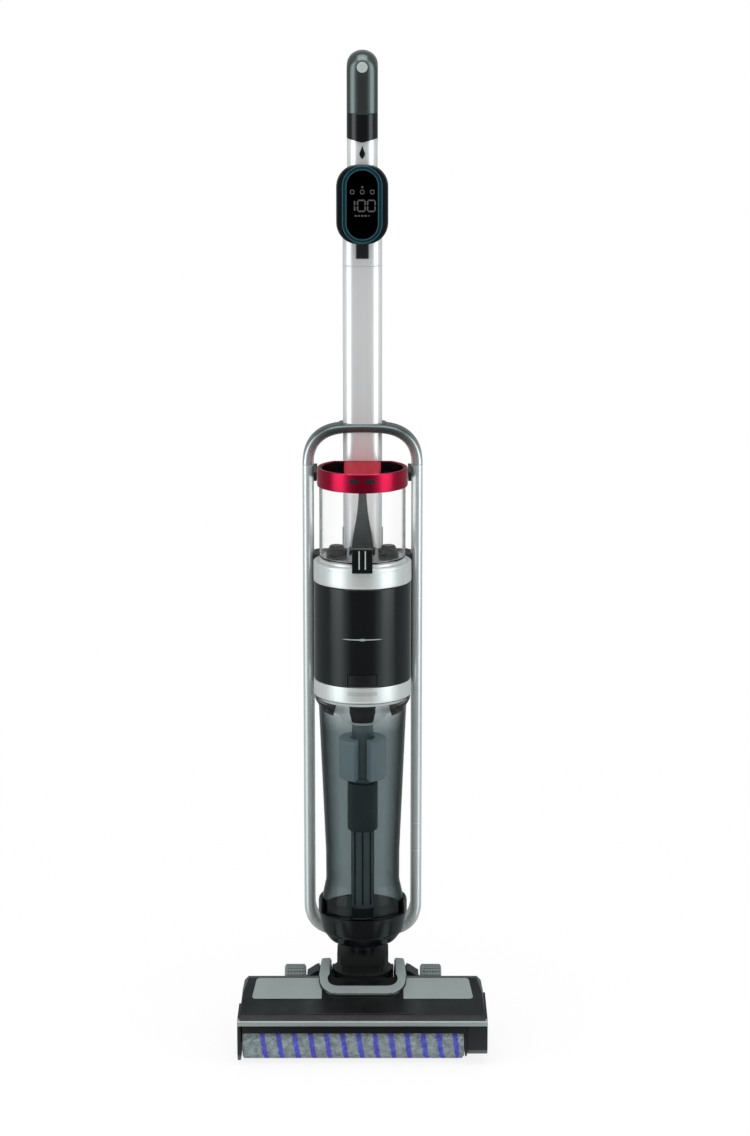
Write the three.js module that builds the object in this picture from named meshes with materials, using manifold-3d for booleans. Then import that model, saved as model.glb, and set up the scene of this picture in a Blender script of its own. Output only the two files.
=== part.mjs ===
// Cordless upright wet and dry floor washer, standing on its roller and rear wheels.
// Millimetres. X is the width, -Y the front, +Z up from the floor.
// X = 0, Y = 0 is the upright axis of the tanks and motor.
import * as THREE from "three";
import { mergeVertices } from "three/addons/utils/BufferGeometryUtils.js";
import Module from "manifold-3d";

const wasm = await Module();
wasm.setup();

// Overall sizes.
const HEIGHT = 1110;
const HEAD_WIDTH = 279;
const DEPTH = 240;
const GAP = 0.3; // between pieces that touch
const SLIDE = 0.5; // round a piece that moves in its seat

// Upright body.
const BODY_R = 54.4;
const WALL = 2.5;
const RAIL_WIDTH = 12.5;
const RAIL_DEPTH = 28;
const POLE_WIDTH = 44;
const POLE_DEPTH = 28;

// Levels of the upright.
const CUP_RIM = 144.9;
const TANK_TOP = 399.1;
const LOW_RING_TOP = 417.7;
const HOUSING_TOP = 529.5;
const DECK = 551.5;
const LID_LOW = 636.2;
const LID_TOP = 657.3;
const ARCH_TOP = 698.3;
const POLE_TOP = HEIGHT - 235.2;
const COLLAR_LOW = HEIGHT - 98.5;
const COLLAR_TOP = HEIGHT - 67.2;

// Floor head.
const ROLLER_Y = -92;
const ROLLER_R = 24;
const BELT_MOTOR_Y = -47.7;
const WHEEL_R = 26.8;
const WHEEL_Y = 65;
const WHEEL_IN = 66.5;
const WHEEL_OUT = 91.5;
const PIVOT_Y = 20;
const PIVOT_Z = 50;
const CHEEK_IN = 35.5;
const CHEEK_OUT = 50;

const FRONT = -DEPTH / 2;
const BACK = DEPTH / 2;
const HEAD_HALF = HEAD_WIDTH / 2;
const ROLLER_LEFT = -HEAD_HALF + 5;
const ROLLER_RIGHT = HEAD_HALF - 25.5; // the belt drive takes the right end
const RAIL_IN = BODY_R + 0.6;
const FRAME_HALF = RAIL_IN + RAIL_WIDTH;
const POLE_Y = BODY_R + 0.6; // the pole's foot goes down just behind the motor housing
const RAIL_FRONT = POLE_Y - 17;
const RAIL_BACK = RAIL_FRONT + RAIL_DEPTH;
const POLE_FRONT = POLE_Y - POLE_DEPTH / 2;
const POLE_BACK = POLE_Y + POLE_DEPTH / 2;

const group = new THREE.Group();

// ---- Solids ----

function solidOf(geometry) {
  const bare = geometry.clone();
  bare.deleteAttribute("normal");
  bare.deleteAttribute("uv");
  const merged = mergeVertices(bare, 1e-4);
  return new wasm.Manifold(
    new wasm.Mesh({
      numProp: 3,
      vertProperties: new Float32Array(merged.attributes.position.array),
      triVerts: new Uint32Array(merged.index.array),
    }),
  );
}

function geometryOf(solid) {
  const mesh = solid.getMesh();
  const geometry = new THREE.BufferGeometry();
  geometry.setAttribute("position", new THREE.BufferAttribute(mesh.vertProperties, 3));
  geometry.setIndex(new THREE.BufferAttribute(mesh.triVerts, 1));
  const flat = geometry.toNonIndexed();
  flat.computeVertexNormals();
  return flat;
}

function box(x0, x1, y0, y1, z0, z1) {
  const geometry = new THREE.BoxGeometry(x1 - x0, y1 - y0, z1 - z0);
  geometry.translate((x0 + x1) / 2, (y0 + y1) / 2, (z0 + z1) / 2);
  return solidOf(geometry);
}

function extrude(shape, depth, curveSegments) {
  return new THREE.ExtrudeGeometry(shape, { depth, bevelEnabled: false, curveSegments });
}

// A plan outline (x, y) raised from z0 to z1.
function raise(shape, z0, z1, curveSegments = 5) {
  const geometry = extrude(shape, z1 - z0, curveSegments);
  geometry.translate(0, 0, z0);
  return solidOf(geometry);
}

// A front outline (x, z) carried back from y0 to y1.
function carryBack(shape, y0, y1, curveSegments = 5) {
  const geometry = extrude(shape, y1 - y0, curveSegments);
  geometry.rotateX(Math.PI / 2);
  geometry.translate(0, y1, 0);
  return solidOf(geometry);
}

// A side outline (y, z) carried across from x0 to x1.
function carryAcross(shape, x0, x1, curveSegments = 5) {
  const geometry = extrude(shape, x1 - x0, curveSegments);
  const turn = new THREE.Matrix4();
  turn.makeBasis(
    new THREE.Vector3(0, 1, 0),
    new THREE.Vector3(0, 0, 1),
    new THREE.Vector3(1, 0, 0),
  );
  geometry.applyMatrix4(turn);
  geometry.translate(x0, 0, 0);
  return solidOf(geometry);
}

function polygon(points) {
  return new THREE.Shape(points.map(([a, b]) => new THREE.Vector2(a, b)));
}

function roundedRect(a0, a1, b0, b1, r) {
  const shape = new THREE.Shape();
  shape.moveTo(a0 + r, b0);
  shape.lineTo(a1 - r, b0);
  shape.absarc(a1 - r, b0 + r, r, -Math.PI / 2, 0, false);
  shape.lineTo(a1, b1 - r);
  shape.absarc(a1 - r, b1 - r, r, 0, Math.PI / 2, false);
  shape.lineTo(a0 + r, b1);
  shape.absarc(a0 + r, b1 - r, r, Math.PI / 2, Math.PI, false);
  shape.lineTo(a0, b0 + r);
  shape.absarc(a0 + r, b0 + r, r, Math.PI, Math.PI * 1.5, false);
  return shape;
}

// A profile of [radius, level] pairs, counter-clockwise, turned round the axis x, y.
// It starts and ends on the axis, or it is closed on itself.
function revolve(profile, segments = 28, x = 0, y = 0) {
  const points = profile.map(([r, z]) => new THREE.Vector2(r, z));
  const onAxis = profile[0][0] === 0 && profile[profile.length - 1][0] === 0;
  if (!onAxis) points.push(points[0].clone());
  const geometry = new THREE.LatheGeometry(points, segments);
  geometry.rotateX(Math.PI / 2);
  geometry.translate(x, y, 0);
  return solidOf(geometry);
}

// The same, turned round an axis along X at y, z. Levels are places along X.
function revolveAcross(profile, segments, y, z) {
  const points = profile.map(([r, x]) => new THREE.Vector2(r, x));
  const onAxis = profile[0][0] === 0 && profile[profile.length - 1][0] === 0;
  if (!onAxis) points.push(points[0].clone());
  const geometry = new THREE.LatheGeometry(points, segments);
  geometry.rotateZ(-Math.PI / 2);
  geometry.translate(0, y, z);
  return solidOf(geometry);
}

function ring(inner, outer, z0, z1, segments = 28, x = 0, y = 0) {
  return revolve([[inner, z0], [outer, z0], [outer, z1], [inner, z1]], segments, x, y);
}

function disc(r, z0, z1, segments = 28, x = 0, y = 0) {
  return revolve([[0, z0], [r, z0], [r, z1], [0, z1]], segments, x, y);
}

function rodAcross(r, x0, x1, y, z, segments = 24) {
  return revolveAcross([[0, x0], [r, x0], [r, x1], [0, x1]], segments, y, z);
}

function tubeAcross(inner, outer, x0, x1, y, z, segments = 24) {
  return revolveAcross([[inner, x0], [outer, x0], [outer, x1], [inner, x1]], segments, y, z);
}

function rodBack(r, y0, y1, x, z, segments = 16) {
  const geometry = new THREE.CylinderGeometry(r, r, y1 - y0, segments);
  geometry.translate(x, (y0 + y1) / 2, z);
  return solidOf(geometry);
}

// ---- Materials ----

function finish(color, roughness, metalness, opacity = 1) {
  return { color, roughness, metalness, opacity, transparent: opacity < 1 };
}

const FINISH = {
  blackGloss: finish(0x16191a, 0.18, 0),
  blackSatin: finish(0x1c1f20, 0.5, 0),
  darkHandle: finish(0x3c4645, 0.3, 0.4),
  gunmetal: finish(0x4a5453, 0.32, 0.8),
  silver: finish(0xc9cecd, 0.28, 0.9),
  panel: finish(0x9aa8a6, 0.38, 0.6),
  alu: finish(0xe2e5e6, 0.3, 0.85),
  red: finish(0xa80a2c, 0.25, 0.6),
  clear: finish(0xeef4f4, 0.05, 0, 0.3),
  smoke: finish(0x4b5657, 0.08, 0, 0.5),
  greyPlastic: finish(0xaab3b2, 0.5, 0),
  bluish: finish(0x78859a, 0.5, 0),
  rubber: finish(0x202224, 0.85, 0),
  wheelGrey: finish(0x8b9795, 0.7, 0),
  pile: finish(0x98a2a1, 0.95, 0),
  teal: finish(0x1e5560, 0.3, 0),
  glass: finish(0x050607, 0.05, 0),
  steel: finish(0xb0b4b6, 0.3, 1),
  brass: finish(0xb8923c, 0.35, 1),
  board: finish(0x1f5a3a, 0.6, 0),
  cell: finish(0x3560a0, 0.5, 0),
  filterWhite: finish(0xe8e8e2, 0.9, 0),
};

function piece(name, solid, look) {
  const mesh = new THREE.Mesh(geometryOf(solid), new THREE.MeshStandardMaterial(FINISH[look]));
  mesh.name = name;
  group.add(mesh);
}

// ---- Handle ----

const HANDLE_HALF = 17.2;
const HANDLE_FRONT = POLE_FRONT - 3;
const COLUMN_BACK = POLE_Y + 9;
const GRIP_FRONT = BACK - 22;
const SPIGOT_HALF = 12;
const SPIGOT_TOP = COLLAR_TOP + 17;
const SPIGOT_LOW = COLLAR_LOW - 21.5;
const LOOP_LOW = HEIGHT - 108;
const GRIP_RADIUS = Math.min(14, (GRIP_FRONT - COLUMN_BACK) / 2 - 1);
const BUTTON_Z = HEIGHT - 17;
const COLLAR_DROP = 4.5; // the collar's lower edge falls to a point at the middle

const handleSide = roundedRect(HANDLE_FRONT, BACK, LOOP_LOW, HEIGHT, 11);
const fingerGap = roundedRect(COLUMN_BACK, GRIP_FRONT, LOOP_LOW + 22, HEIGHT - 22, GRIP_RADIUS);
const handleFront = new THREE.Shape();
handleFront.moveTo(-HANDLE_HALF, LOOP_LOW - 12);
handleFront.lineTo(HANDLE_HALF, LOOP_LOW - 12);
handleFront.lineTo(HANDLE_HALF, HEIGHT - HANDLE_HALF);
handleFront.absarc(0, HEIGHT - HANDLE_HALF, HANDLE_HALF, 0, Math.PI, false);
const backCorner = polygon([
  [BACK + 1, HEIGHT + 1],
  [BACK - 30, HEIGHT + 1],
  [BACK - 14, HEIGHT - 8],
  [BACK - 4, HEIGHT - 22],
  [BACK, HEIGHT - 40],
  [BACK + 1, HEIGHT - 40],
]);
const backFoot = polygon([
  [BACK + 1, LOOP_LOW - 1],
  [BACK + 1, LOOP_LOW + 38],
  [BACK, LOOP_LOW + 38],
  [BACK - 6, LOOP_LOW + 16],
  [BACK - 18, LOOP_LOW + 4],
  [BACK - 36, LOOP_LOW - 1],
]);
const spigotHole = raise(
  roundedRect(
    -SPIGOT_HALF - GAP,
    SPIGOT_HALF + GAP,
    POLE_Y - 8 - GAP,
    POLE_Y + 6 + GAP,
    4,
  ),
  COLLAR_LOW - 5,
  SPIGOT_TOP + 1,
  3,
);
const handleLoop = carryAcross(handleSide, -HANDLE_HALF, HANDLE_HALF, 4)
  .subtract(carryAcross(fingerGap, -HANDLE_HALF - 1, HANDLE_HALF + 1, 4))
  .subtract(carryAcross(backCorner, -HANDLE_HALF - 1, HANDLE_HALF + 1))
  .subtract(carryAcross(backFoot, -HANDLE_HALF - 1, HANDLE_HALF + 1))
  .intersect(carryBack(handleFront, HANDLE_FRONT - 1, BACK + 1, 7))
  .subtract(
    box(
      -HANDLE_HALF - 1,
      HANDLE_HALF + 1,
      HANDLE_FRONT - 1,
      POLE_BACK + 1.5 + GAP,
      LOOP_LOW - 2,
      COLLAR_TOP + GAP,
    ),
  )
  .subtract(spigotHole)
  .subtract(rodBack(6 + SLIDE, HANDLE_FRONT - 1, HANDLE_FRONT + 7, 0, BUTTON_Z))
  .subtract(
    carryBack(
      roundedRect(-4.5 - GAP, 4.5 + GAP, COLLAR_TOP + 3 - GAP, BUTTON_Z - 8, 4),
      HANDLE_FRONT - 1,
      HANDLE_FRONT + 4,
      3,
    ),
  );
piece("handle_loop", handleLoop, "darkHandle");

piece(
  "grip_insert",
  carryBack(
    roundedRect(-4.5, 4.5, COLLAR_TOP + 3, BUTTON_Z - 8 - GAP, 4 - GAP),
    HANDLE_FRONT + 0.2,
    HANDLE_FRONT + 4 - GAP,
    3,
  ),
  "rubber",
);

piece("power_button", rodBack(6, HANDLE_FRONT - 0.6, HANDLE_FRONT + 5, 0, BUTTON_Z), "greyPlastic");

const collarFront = polygon([
  [0, COLLAR_LOW],
  [HANDLE_HALF, COLLAR_LOW + COLLAR_DROP],
  [HANDLE_HALF, COLLAR_TOP],
  [-HANDLE_HALF, COLLAR_TOP],
  [-HANDLE_HALF, COLLAR_LOW + COLLAR_DROP],
]);
const collarPlan = roundedRect(
  -HANDLE_HALF,
  HANDLE_HALF,
  HANDLE_FRONT - 0.4,
  POLE_BACK + 1.5,
  9,
);
const handleCollar = raise(collarPlan, COLLAR_LOW - 1, COLLAR_TOP + 1, 3)
  .intersect(carryBack(collarFront, HANDLE_FRONT - 2, POLE_BACK + 3))
  .subtract(spigotHole);
piece("handle_collar", handleCollar, "blackGloss");

// ---- Upper tube with the display ----

const POD_FRONT = POLE_FRONT - 21;
const POD_HALF = 28.6;
const POD_LOW = HEIGHT - 208.4;
const POD_TOP = POD_LOW + 86.9;
const POD_MID = (POD_LOW + POD_TOP) / 2;
const RING_HALF = 22.3;
const RING_TALL = 42.6;
const GLASS_HALF = 17.2;
const GLASS_TALL = 37.8;
const TAB_Z = POD_LOW - 9.9;
const MODE_Z = COLLAR_LOW - 11;
const TAPER_LOW = HEIGHT - 180;
const TAPER_TOP = HEIGHT - 135;
const STUB_DEEP = 80;

const tubeFront = polygon([
  [POLE_WIDTH / 2, POLE_TOP + GAP],
  [POLE_WIDTH / 2, TAPER_LOW],
  [HANDLE_HALF - 0.3, TAPER_TOP],
  [HANDLE_HALF - 0.3, COLLAR_LOW + COLLAR_DROP - GAP - 0.1],
  [0, COLLAR_LOW - GAP - 0.1],
  [-HANDLE_HALF + 0.3, COLLAR_LOW + COLLAR_DROP - GAP - 0.1],
  [-HANDLE_HALF + 0.3, TAPER_TOP],
  [-POLE_WIDTH / 2, TAPER_LOW],
  [-POLE_WIDTH / 2, POLE_TOP + GAP],
]);

function poleOutline(inset) {
  const half = POLE_WIDTH / 2 - inset;
  return roundedRect(
    -half,
    half,
    POLE_FRONT + inset,
    POLE_BACK - inset,
    POLE_DEPTH / 2 - inset - 0.2,
  );
}

const upperTube = raise(poleOutline(0), POLE_TOP + GAP, COLLAR_TOP)
  .intersect(carryBack(tubeFront, POLE_FRONT - 1, POLE_BACK + 1))
  .add(
    raise(
      roundedRect(-SPIGOT_HALF, SPIGOT_HALF, POLE_Y - 8, POLE_Y + 6, 4),
      SPIGOT_LOW,
      SPIGOT_TOP,
      3,
    ),
  )
  .add(raise(poleOutline(WALL + GAP), POLE_TOP - STUB_DEEP, POLE_TOP + 3))
  .subtract(box(-7.1, 7.1, POLE_FRONT - 1, POLE_FRONT + 6, TAB_Z - 8.3, TAB_Z + 8.3))
  .subtract(
    carryBack(
      roundedRect(-3.8 - SLIDE, 3.8 + SLIDE, MODE_Z - 8, MODE_Z + 8, 4),
      POLE_FRONT - 1,
      POLE_FRONT + 5.5,
      3,
    ),
  );
piece("upper_tube", upperTube, "alu");

piece(
  "mode_button",
  carryBack(
    roundedRect(-3.8, 3.8, MODE_Z - 7.5, MODE_Z + 7.5, 3.7),
    POLE_FRONT - 0.5,
    POLE_FRONT + 4,
    3,
  ),
  "blackSatin",
);

piece(
  "pole_release_tab",
  box(-6.8, 6.8, POLE_FRONT - 2.5, POLE_FRONT + 4, TAB_Z - 8, TAB_Z + 8),
  "blackSatin",
);

const podBack = POLE_Y + 5;
const displayHousing = carryBack(
  roundedRect(-POD_HALF, POD_HALF, POD_LOW, POD_TOP, 21),
  POD_FRONT,
  podBack,
  5,
)
  .subtract(
    raise(poleOutline(-GAP), POD_LOW - 1, POD_TOP + 1).add(
      box(
        -POLE_WIDTH / 2 - GAP,
        POLE_WIDTH / 2 + GAP,
        POLE_Y,
        podBack + 1,
        POD_LOW - 1,
        POD_TOP + 1,
      ),
    ),
  )
  .subtract(
    carryBack(
      roundedRect(
        -RING_HALF - GAP,
        RING_HALF + GAP,
        POD_MID - RING_TALL - GAP,
        POD_MID + RING_TALL + GAP,
        RING_HALF,
      ),
      POD_FRONT - 1,
      POD_FRONT + 5,
      5,
    ),
  );
piece("display_housing", displayHousing, "blackSatin");

const ringHole = roundedRect(
  -GLASS_HALF - GAP,
  GLASS_HALF + GAP,
  POD_MID - GLASS_TALL - GAP,
  POD_MID + GLASS_TALL + GAP,
  GLASS_HALF,
);
piece(
  "display_ring",
  carryBack(
    roundedRect(
      -RING_HALF,
      RING_HALF,
      POD_MID - RING_TALL,
      POD_MID + RING_TALL,
      RING_HALF - GAP,
    ),
    POD_FRONT - 0.8,
    POD_FRONT + 5 - GAP,
    5,
  ).subtract(carryBack(ringHole, POD_FRONT - 2, POD_FRONT + 6, 5)),
  "teal",
);

piece(
  "display_glass",
  carryBack(
    roundedRect(
      -GLASS_HALF,
      GLASS_HALF,
      POD_MID - GLASS_TALL,
      POD_MID + GLASS_TALL,
      GLASS_HALF - GAP,
    ),
    POD_FRONT,
    POD_FRONT + 5 - GAP,
    5,
  ),
  "glass",
);

// ---- Pole and frame ----

const STUB_LOW = 500;
const CUFF_TOP = 575;
const pole = raise(poleOutline(0), DECK + GAP, POLE_TOP)
  .subtract(raise(poleOutline(WALL), POLE_TOP - STUB_DEEP - 20, POLE_TOP + 1))
  .add(box(-15, 15, POLE_Y + 2, POLE_BACK - 1.5, STUB_LOW, DECK + 5));
piece("pole", pole, "alu");

const RAIL_TOP = 652;
const ARCH_LOW = ARCH_TOP - 9.9;
const archShape = new THREE.Shape();
archShape.moveTo(FRAME_HALF, RAIL_TOP - 5);
archShape.lineTo(FRAME_HALF, RAIL_TOP);
archShape.bezierCurveTo(FRAME_HALF, 680, FRAME_HALF - 17.5, ARCH_TOP, 18, ARCH_TOP);
archShape.lineTo(-18, ARCH_TOP);
archShape.bezierCurveTo(-FRAME_HALF + 17.5, ARCH_TOP, -FRAME_HALF, 680, -FRAME_HALF, RAIL_TOP);
archShape.lineTo(-FRAME_HALF, RAIL_TOP - 5);
archShape.lineTo(-RAIL_IN, RAIL_TOP - 5);
archShape.lineTo(-RAIL_IN, RAIL_TOP);
archShape.bezierCurveTo(-RAIL_IN, 674, -RAIL_IN + 13, ARCH_LOW, -14, ARCH_LOW);
archShape.lineTo(14, ARCH_LOW);
archShape.bezierCurveTo(RAIL_IN - 13, ARCH_LOW, RAIL_IN, 674, RAIL_IN, RAIL_TOP);
archShape.lineTo(RAIL_IN, RAIL_TOP - 5);
const archBoss = raise(
  roundedRect(-POLE_WIDTH / 2 - 5, POLE_WIDTH / 2 + 5, RAIL_FRONT - 2, POLE_BACK + 4, 12),
  ARCH_LOW,
  ARCH_TOP,
  4,
);
const frameArch = carryBack(archShape, RAIL_FRONT, RAIL_BACK, 6)
  .subtract(box(-120, 120, 0, 120, RAIL_TOP - 9, RAIL_TOP + GAP))
  .add(archBoss)
  .subtract(raise(poleOutline(-GAP), ARCH_LOW - 2, ARCH_TOP + 2));
piece("frame_arch", frameArch, "gunmetal");

const FOOT_TOP = 108;
const FOOT_LOW = 97;
const railShape = new THREE.Shape();
railShape.moveTo(GAP / 2, FOOT_LOW);
railShape.lineTo(20, FOOT_LOW);
railShape.bezierCurveTo(FRAME_HALF - 15.5, FOOT_LOW, FRAME_HALF, 112, FRAME_HALF, 138);
railShape.lineTo(FRAME_HALF, RAIL_TOP);
railShape.lineTo(RAIL_IN, RAIL_TOP);
railShape.lineTo(RAIL_IN, 138);
railShape.bezierCurveTo(RAIL_IN, 120, RAIL_IN - 11, FOOT_TOP, 20, FOOT_TOP);
railShape.lineTo(GAP / 2, FOOT_TOP);
const railRight = carryBack(railShape, RAIL_FRONT, RAIL_BACK, 7);
piece("frame_rail_right", railRight, "silver");
piece("frame_rail_left", railRight.mirror([1, 0, 0]), "silver");

for (const side of [-1, 1]) {
  const x0 = side > 0 ? BODY_R - 3.4 : -RAIL_IN + GAP;
  const x1 = side > 0 ? RAIL_IN - GAP : -BODY_R + 3.4;
  const name = side > 0 ? "lid_bracket_right" : "lid_bracket_left";
  piece(name, box(x0, x1, 12, RAIL_BACK - 8, LID_LOW + 2, LID_TOP - 6), "blackSatin");
}

// ---- Motor section ----

const HOUSING_IN = BODY_R - WALL;
const MOTOR_LOW = LOW_RING_TOP + 1.2;
const SHELF = 466;
const SHELF_THICK = 2.5;
const SHELF_R = HOUSING_IN - 11.9;
const SHAFT_R = 3;
const BACK_LOW = 402;
const HUMP_HALF = 27;
const HUMP_BACK = POLE_BACK + 4;

function ventSlots() {
  let slots = box(-20, 20, BODY_R - 10.4, HUMP_BACK + 5, 425, 428);
  for (let n = 1; n < 5; n += 1) {
    slots = slots.add(box(-20, 20, BODY_R - 10.4, HUMP_BACK + 5, 425 + n * 8, 428 + n * 8));
  }
  return slots;
}

const BUTTON_HALF = 16.5;
const RELEASE_LOW = LOW_RING_TOP + 1;
const RELEASE_TOP = 432.5;
const motorHousing = revolve([
  [HOUSING_IN, LOW_RING_TOP + GAP],
  [BODY_R, LOW_RING_TOP + GAP],
  [BODY_R, HOUSING_TOP - GAP],
  [HOUSING_IN, HOUSING_TOP - GAP],
  [HOUSING_IN, SHELF],
  [SHELF_R, SHELF],
  [SHELF_R, SHELF - SHELF_THICK],
  [HOUSING_IN, SHELF - SHELF_THICK],
])
  .subtract(ventSlots())
  .subtract(
    box(
      -BUTTON_HALF - SLIDE,
      BUTTON_HALF + SLIDE,
      -BODY_R - 1,
      14.4 - BODY_R,
      LOW_RING_TOP - 1,
      RELEASE_TOP + SLIDE,
    ),
  );
piece("motor_housing", motorHousing, "blackGloss");

const releaseFace = ring(BODY_R - 6, BODY_R - 0.8, RELEASE_LOW, RELEASE_TOP);
piece(
  "tank_release_button",
  releaseFace.intersect(box(-BUTTON_HALF, BUTTON_HALF, -BODY_R, 0, 400, 440)),
  "blackSatin",
);

piece(
  "lower_ring",
  revolve([
    [19, TANK_TOP + GAP + 0.2],
    [BODY_R + 0.2, TANK_TOP + GAP + 0.2],
    [BODY_R + 0.2, LOW_RING_TOP],
    [HOUSING_IN, LOW_RING_TOP],
    [HOUSING_IN, 403.5],
    [19, 403.5],
  ]),
  "silver",
);

const upperRing = revolve([
  [0, DECK - 3],
  [HOUSING_IN, DECK - 3],
  [HOUSING_IN, HOUSING_TOP],
  [BODY_R + 0.2, HOUSING_TOP],
  [BODY_R + 0.2, DECK],
  [0, DECK],
]);
piece("upper_ring", upperRing, "silver");

piece(
  "fan",
  revolve(
    [
      [SHAFT_R + SLIDE, 404.3],
      [8, 404.3],
      [SHELF_R - 2, 406],
      [SHELF_R - 2, 407.5],
      [14, 409.5],
      [14, 416],
      [SHAFT_R + SLIDE, 416],
    ],
    28,
  ),
  "steel",
);

piece(
  "suction_motor",
  revolve(
    [
      [0, 406],
      [SHAFT_R, 406],
      [SHAFT_R, MOTOR_LOW],
      [SHELF_R + 3, MOTOR_LOW],
      [SHELF_R + 3, SHELF - SHELF_THICK - GAP],
      [0, SHELF - SHELF_THICK - GAP],
    ],
    28,
  ),
  "steel",
);

const PACK_HALF = BODY_R - 18.4;
const PACK_BACK = BODY_R - 29.4;
piece(
  "battery_pack",
  raise(roundedRect(-PACK_HALF, PACK_HALF, 24.4 - BODY_R, PACK_BACK, 8), SHELF + GAP, DECK - 6, 3),
  "cell",
);

piece(
  "circuit_board",
  box(6 - PACK_HALF, PACK_HALF - 6, PACK_BACK + GAP, PACK_BACK + 2, SHELF + GAP, 538),
  "board",
);

const PUMP_OUT = RAIL_IN - 7;
const PUMP_IN = PUMP_OUT - 17;
const PUMP_FRONT = Math.sqrt((BODY_R + 0.5) ** 2 - PUMP_IN ** 2) + 1.7;
const PUMP_BACK = PUMP_FRONT + 15;

const backPlan = polygon([
  [-RAIL_IN + GAP, RAIL_FRONT - 8],
  [RAIL_IN - GAP, RAIL_FRONT - 8],
  [RAIL_IN - GAP, RAIL_BACK - 6],
  [RAIL_IN - 6, RAIL_BACK],
  [HUMP_HALF + 2, RAIL_BACK],
  [HUMP_HALF - 4, HUMP_BACK],
  [-HUMP_HALF + 4, HUMP_BACK],
  [-HUMP_HALF - 2, RAIL_BACK],
  [-RAIL_IN + 6, RAIL_BACK],
  [-RAIL_IN + GAP, RAIL_BACK - 6],
]);
const cuffPlan = polygon([
  [-HUMP_HALF + 4, HUMP_BACK],
  [-HUMP_HALF + 4, POLE_BACK - 4],
  [HUMP_HALF - 4, POLE_BACK - 4],
  [HUMP_HALF - 4, HUMP_BACK],
].reverse());
const backHousing = raise(backPlan, BACK_LOW, DECK)
  .add(raise(cuffPlan, DECK - 5, CUFF_TOP))
  .subtract(disc(BODY_R + 0.2 + GAP, BACK_LOW - 1, CUFF_TOP + 1))
  .subtract(raise(poleOutline(-GAP), DECK, CUFF_TOP + 1))
  .subtract(
    box(-15 - GAP, 15 + GAP, POLE_Y + 2 - GAP, POLE_BACK - 1.5 + GAP, STUB_LOW - GAP, DECK + 1),
  )
  .subtract(box(-PUMP_OUT, -PUMP_IN, PUMP_FRONT, PUMP_BACK, 400, 521))
  .subtract(box(-9 - GAP, 9 + GAP, HUMP_BACK - 4, HUMP_BACK + 1, 406 - GAP, 418 + GAP))
  .subtract(ventSlots());
piece("back_housing", backHousing, "blackSatin");

piece(
  "water_pump",
  box(-PUMP_OUT + GAP, -PUMP_IN - GAP, PUMP_FRONT + GAP, PUMP_BACK - GAP, 478, 521 - GAP),
  "steel",
);
piece("charge_port", box(-9, 9, HUMP_BACK - 4 + GAP, HUMP_BACK - 0.5, 406, 418), "brass");

// ---- Clean water tank ----

const CLEAN_R = BODY_R - 6.4;
const FLAT_BACK = POLE_FRONT - 2.5;
const BASE_TOP = DECK + GAP + 4;
const LATCH_HALF = 11.4;
const LATCH_PIN_Z = 572;
const LATCH_PIN_Y = -CLEAN_R - 3.3;

// A disc cut flat at the back, clear of the pole.
function flatBacked(r, inset, z0, z1) {
  return disc(r, z0, z1).subtract(box(-r - 9, r + 9, FLAT_BACK - inset, r + 9, z0 - 1, z1 + 1));
}

function latchLug(x0, x1) {
  const side = roundedRect(-CLEAN_R - 8, 5 - CLEAN_R, LATCH_PIN_Z - 5, LATCH_PIN_Z + 5, 4.8);
  return carryAcross(side, x0, x1, 3);
}

const latchBore = rodAcross(2 + GAP, -15, 15, LATCH_PIN_Y, LATCH_PIN_Z, 12);
const cleanTank = flatBacked(CLEAN_R, 0, BASE_TOP + GAP, LID_LOW - GAP)
  .add(latchLug(LATCH_HALF + GAP, LATCH_HALF + 2.8))
  .add(latchLug(-LATCH_HALF - 2.8, -LATCH_HALF - GAP))
  .subtract(latchBore)
  .subtract(flatBacked(CLEAN_R - 2.2, 2.2, BASE_TOP + GAP + 2.2, LID_LOW + 1));
piece("clean_tank", cleanTank, "clear");

piece("tank_base", flatBacked(CLEAN_R, 0, DECK + GAP, BASE_TOP), "blackSatin");

const latchSide = polygon([
  [-CLEAN_R - 0.6, LATCH_PIN_Z + 3.5],
  [-CLEAN_R - 7, LATCH_PIN_Z + 6.8],
  [-BODY_R - 3.8, LATCH_PIN_Z + 3],
  [-BODY_R - 4.6, DECK - 0.5],
  [-BODY_R - 3.2, DECK - 3.5],
  [-BODY_R - 0.9, DECK - 3.5],
  [-BODY_R - 0.9, DECK + 5],
  [-CLEAN_R - 1.6, DECK + 7],
]);
const tankLatch = carryAcross(latchSide, -LATCH_HALF, LATCH_HALF).add(
  rodAcross(2, -LATCH_HALF - 2, LATCH_HALF + 2, LATCH_PIN_Y, LATCH_PIN_Z, 12),
);
piece("tank_latch", tankLatch, "blackGloss");

const LID_R = BODY_R - 3.9;
const WELL = 642.6;
const BRIDGE_HALF = 21.5;
const lidWell = flatBacked(LID_R - 3, 3, WELL, LID_TOP + 1);
const tankLid = flatBacked(LID_R, 0, LID_LOW, LID_TOP)
  .subtract(lidWell)
  .add(
    box(-BRIDGE_HALF, BRIDGE_HALF, -LID_R + 2, FLAT_BACK, WELL + 4, LID_TOP - 0.6),
  )
  .intersect(flatBacked(LID_R, 0, LID_LOW, LID_TOP));
piece("tank_lid", tankLid, "red");
piece(
  "lid_plate",
  flatBacked(LID_R - 3 - GAP, 3 + GAP, WELL + GAP, WELL + 4 - GAP),
  "blackSatin",
);

// ---- Dirty water tank ----

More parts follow.
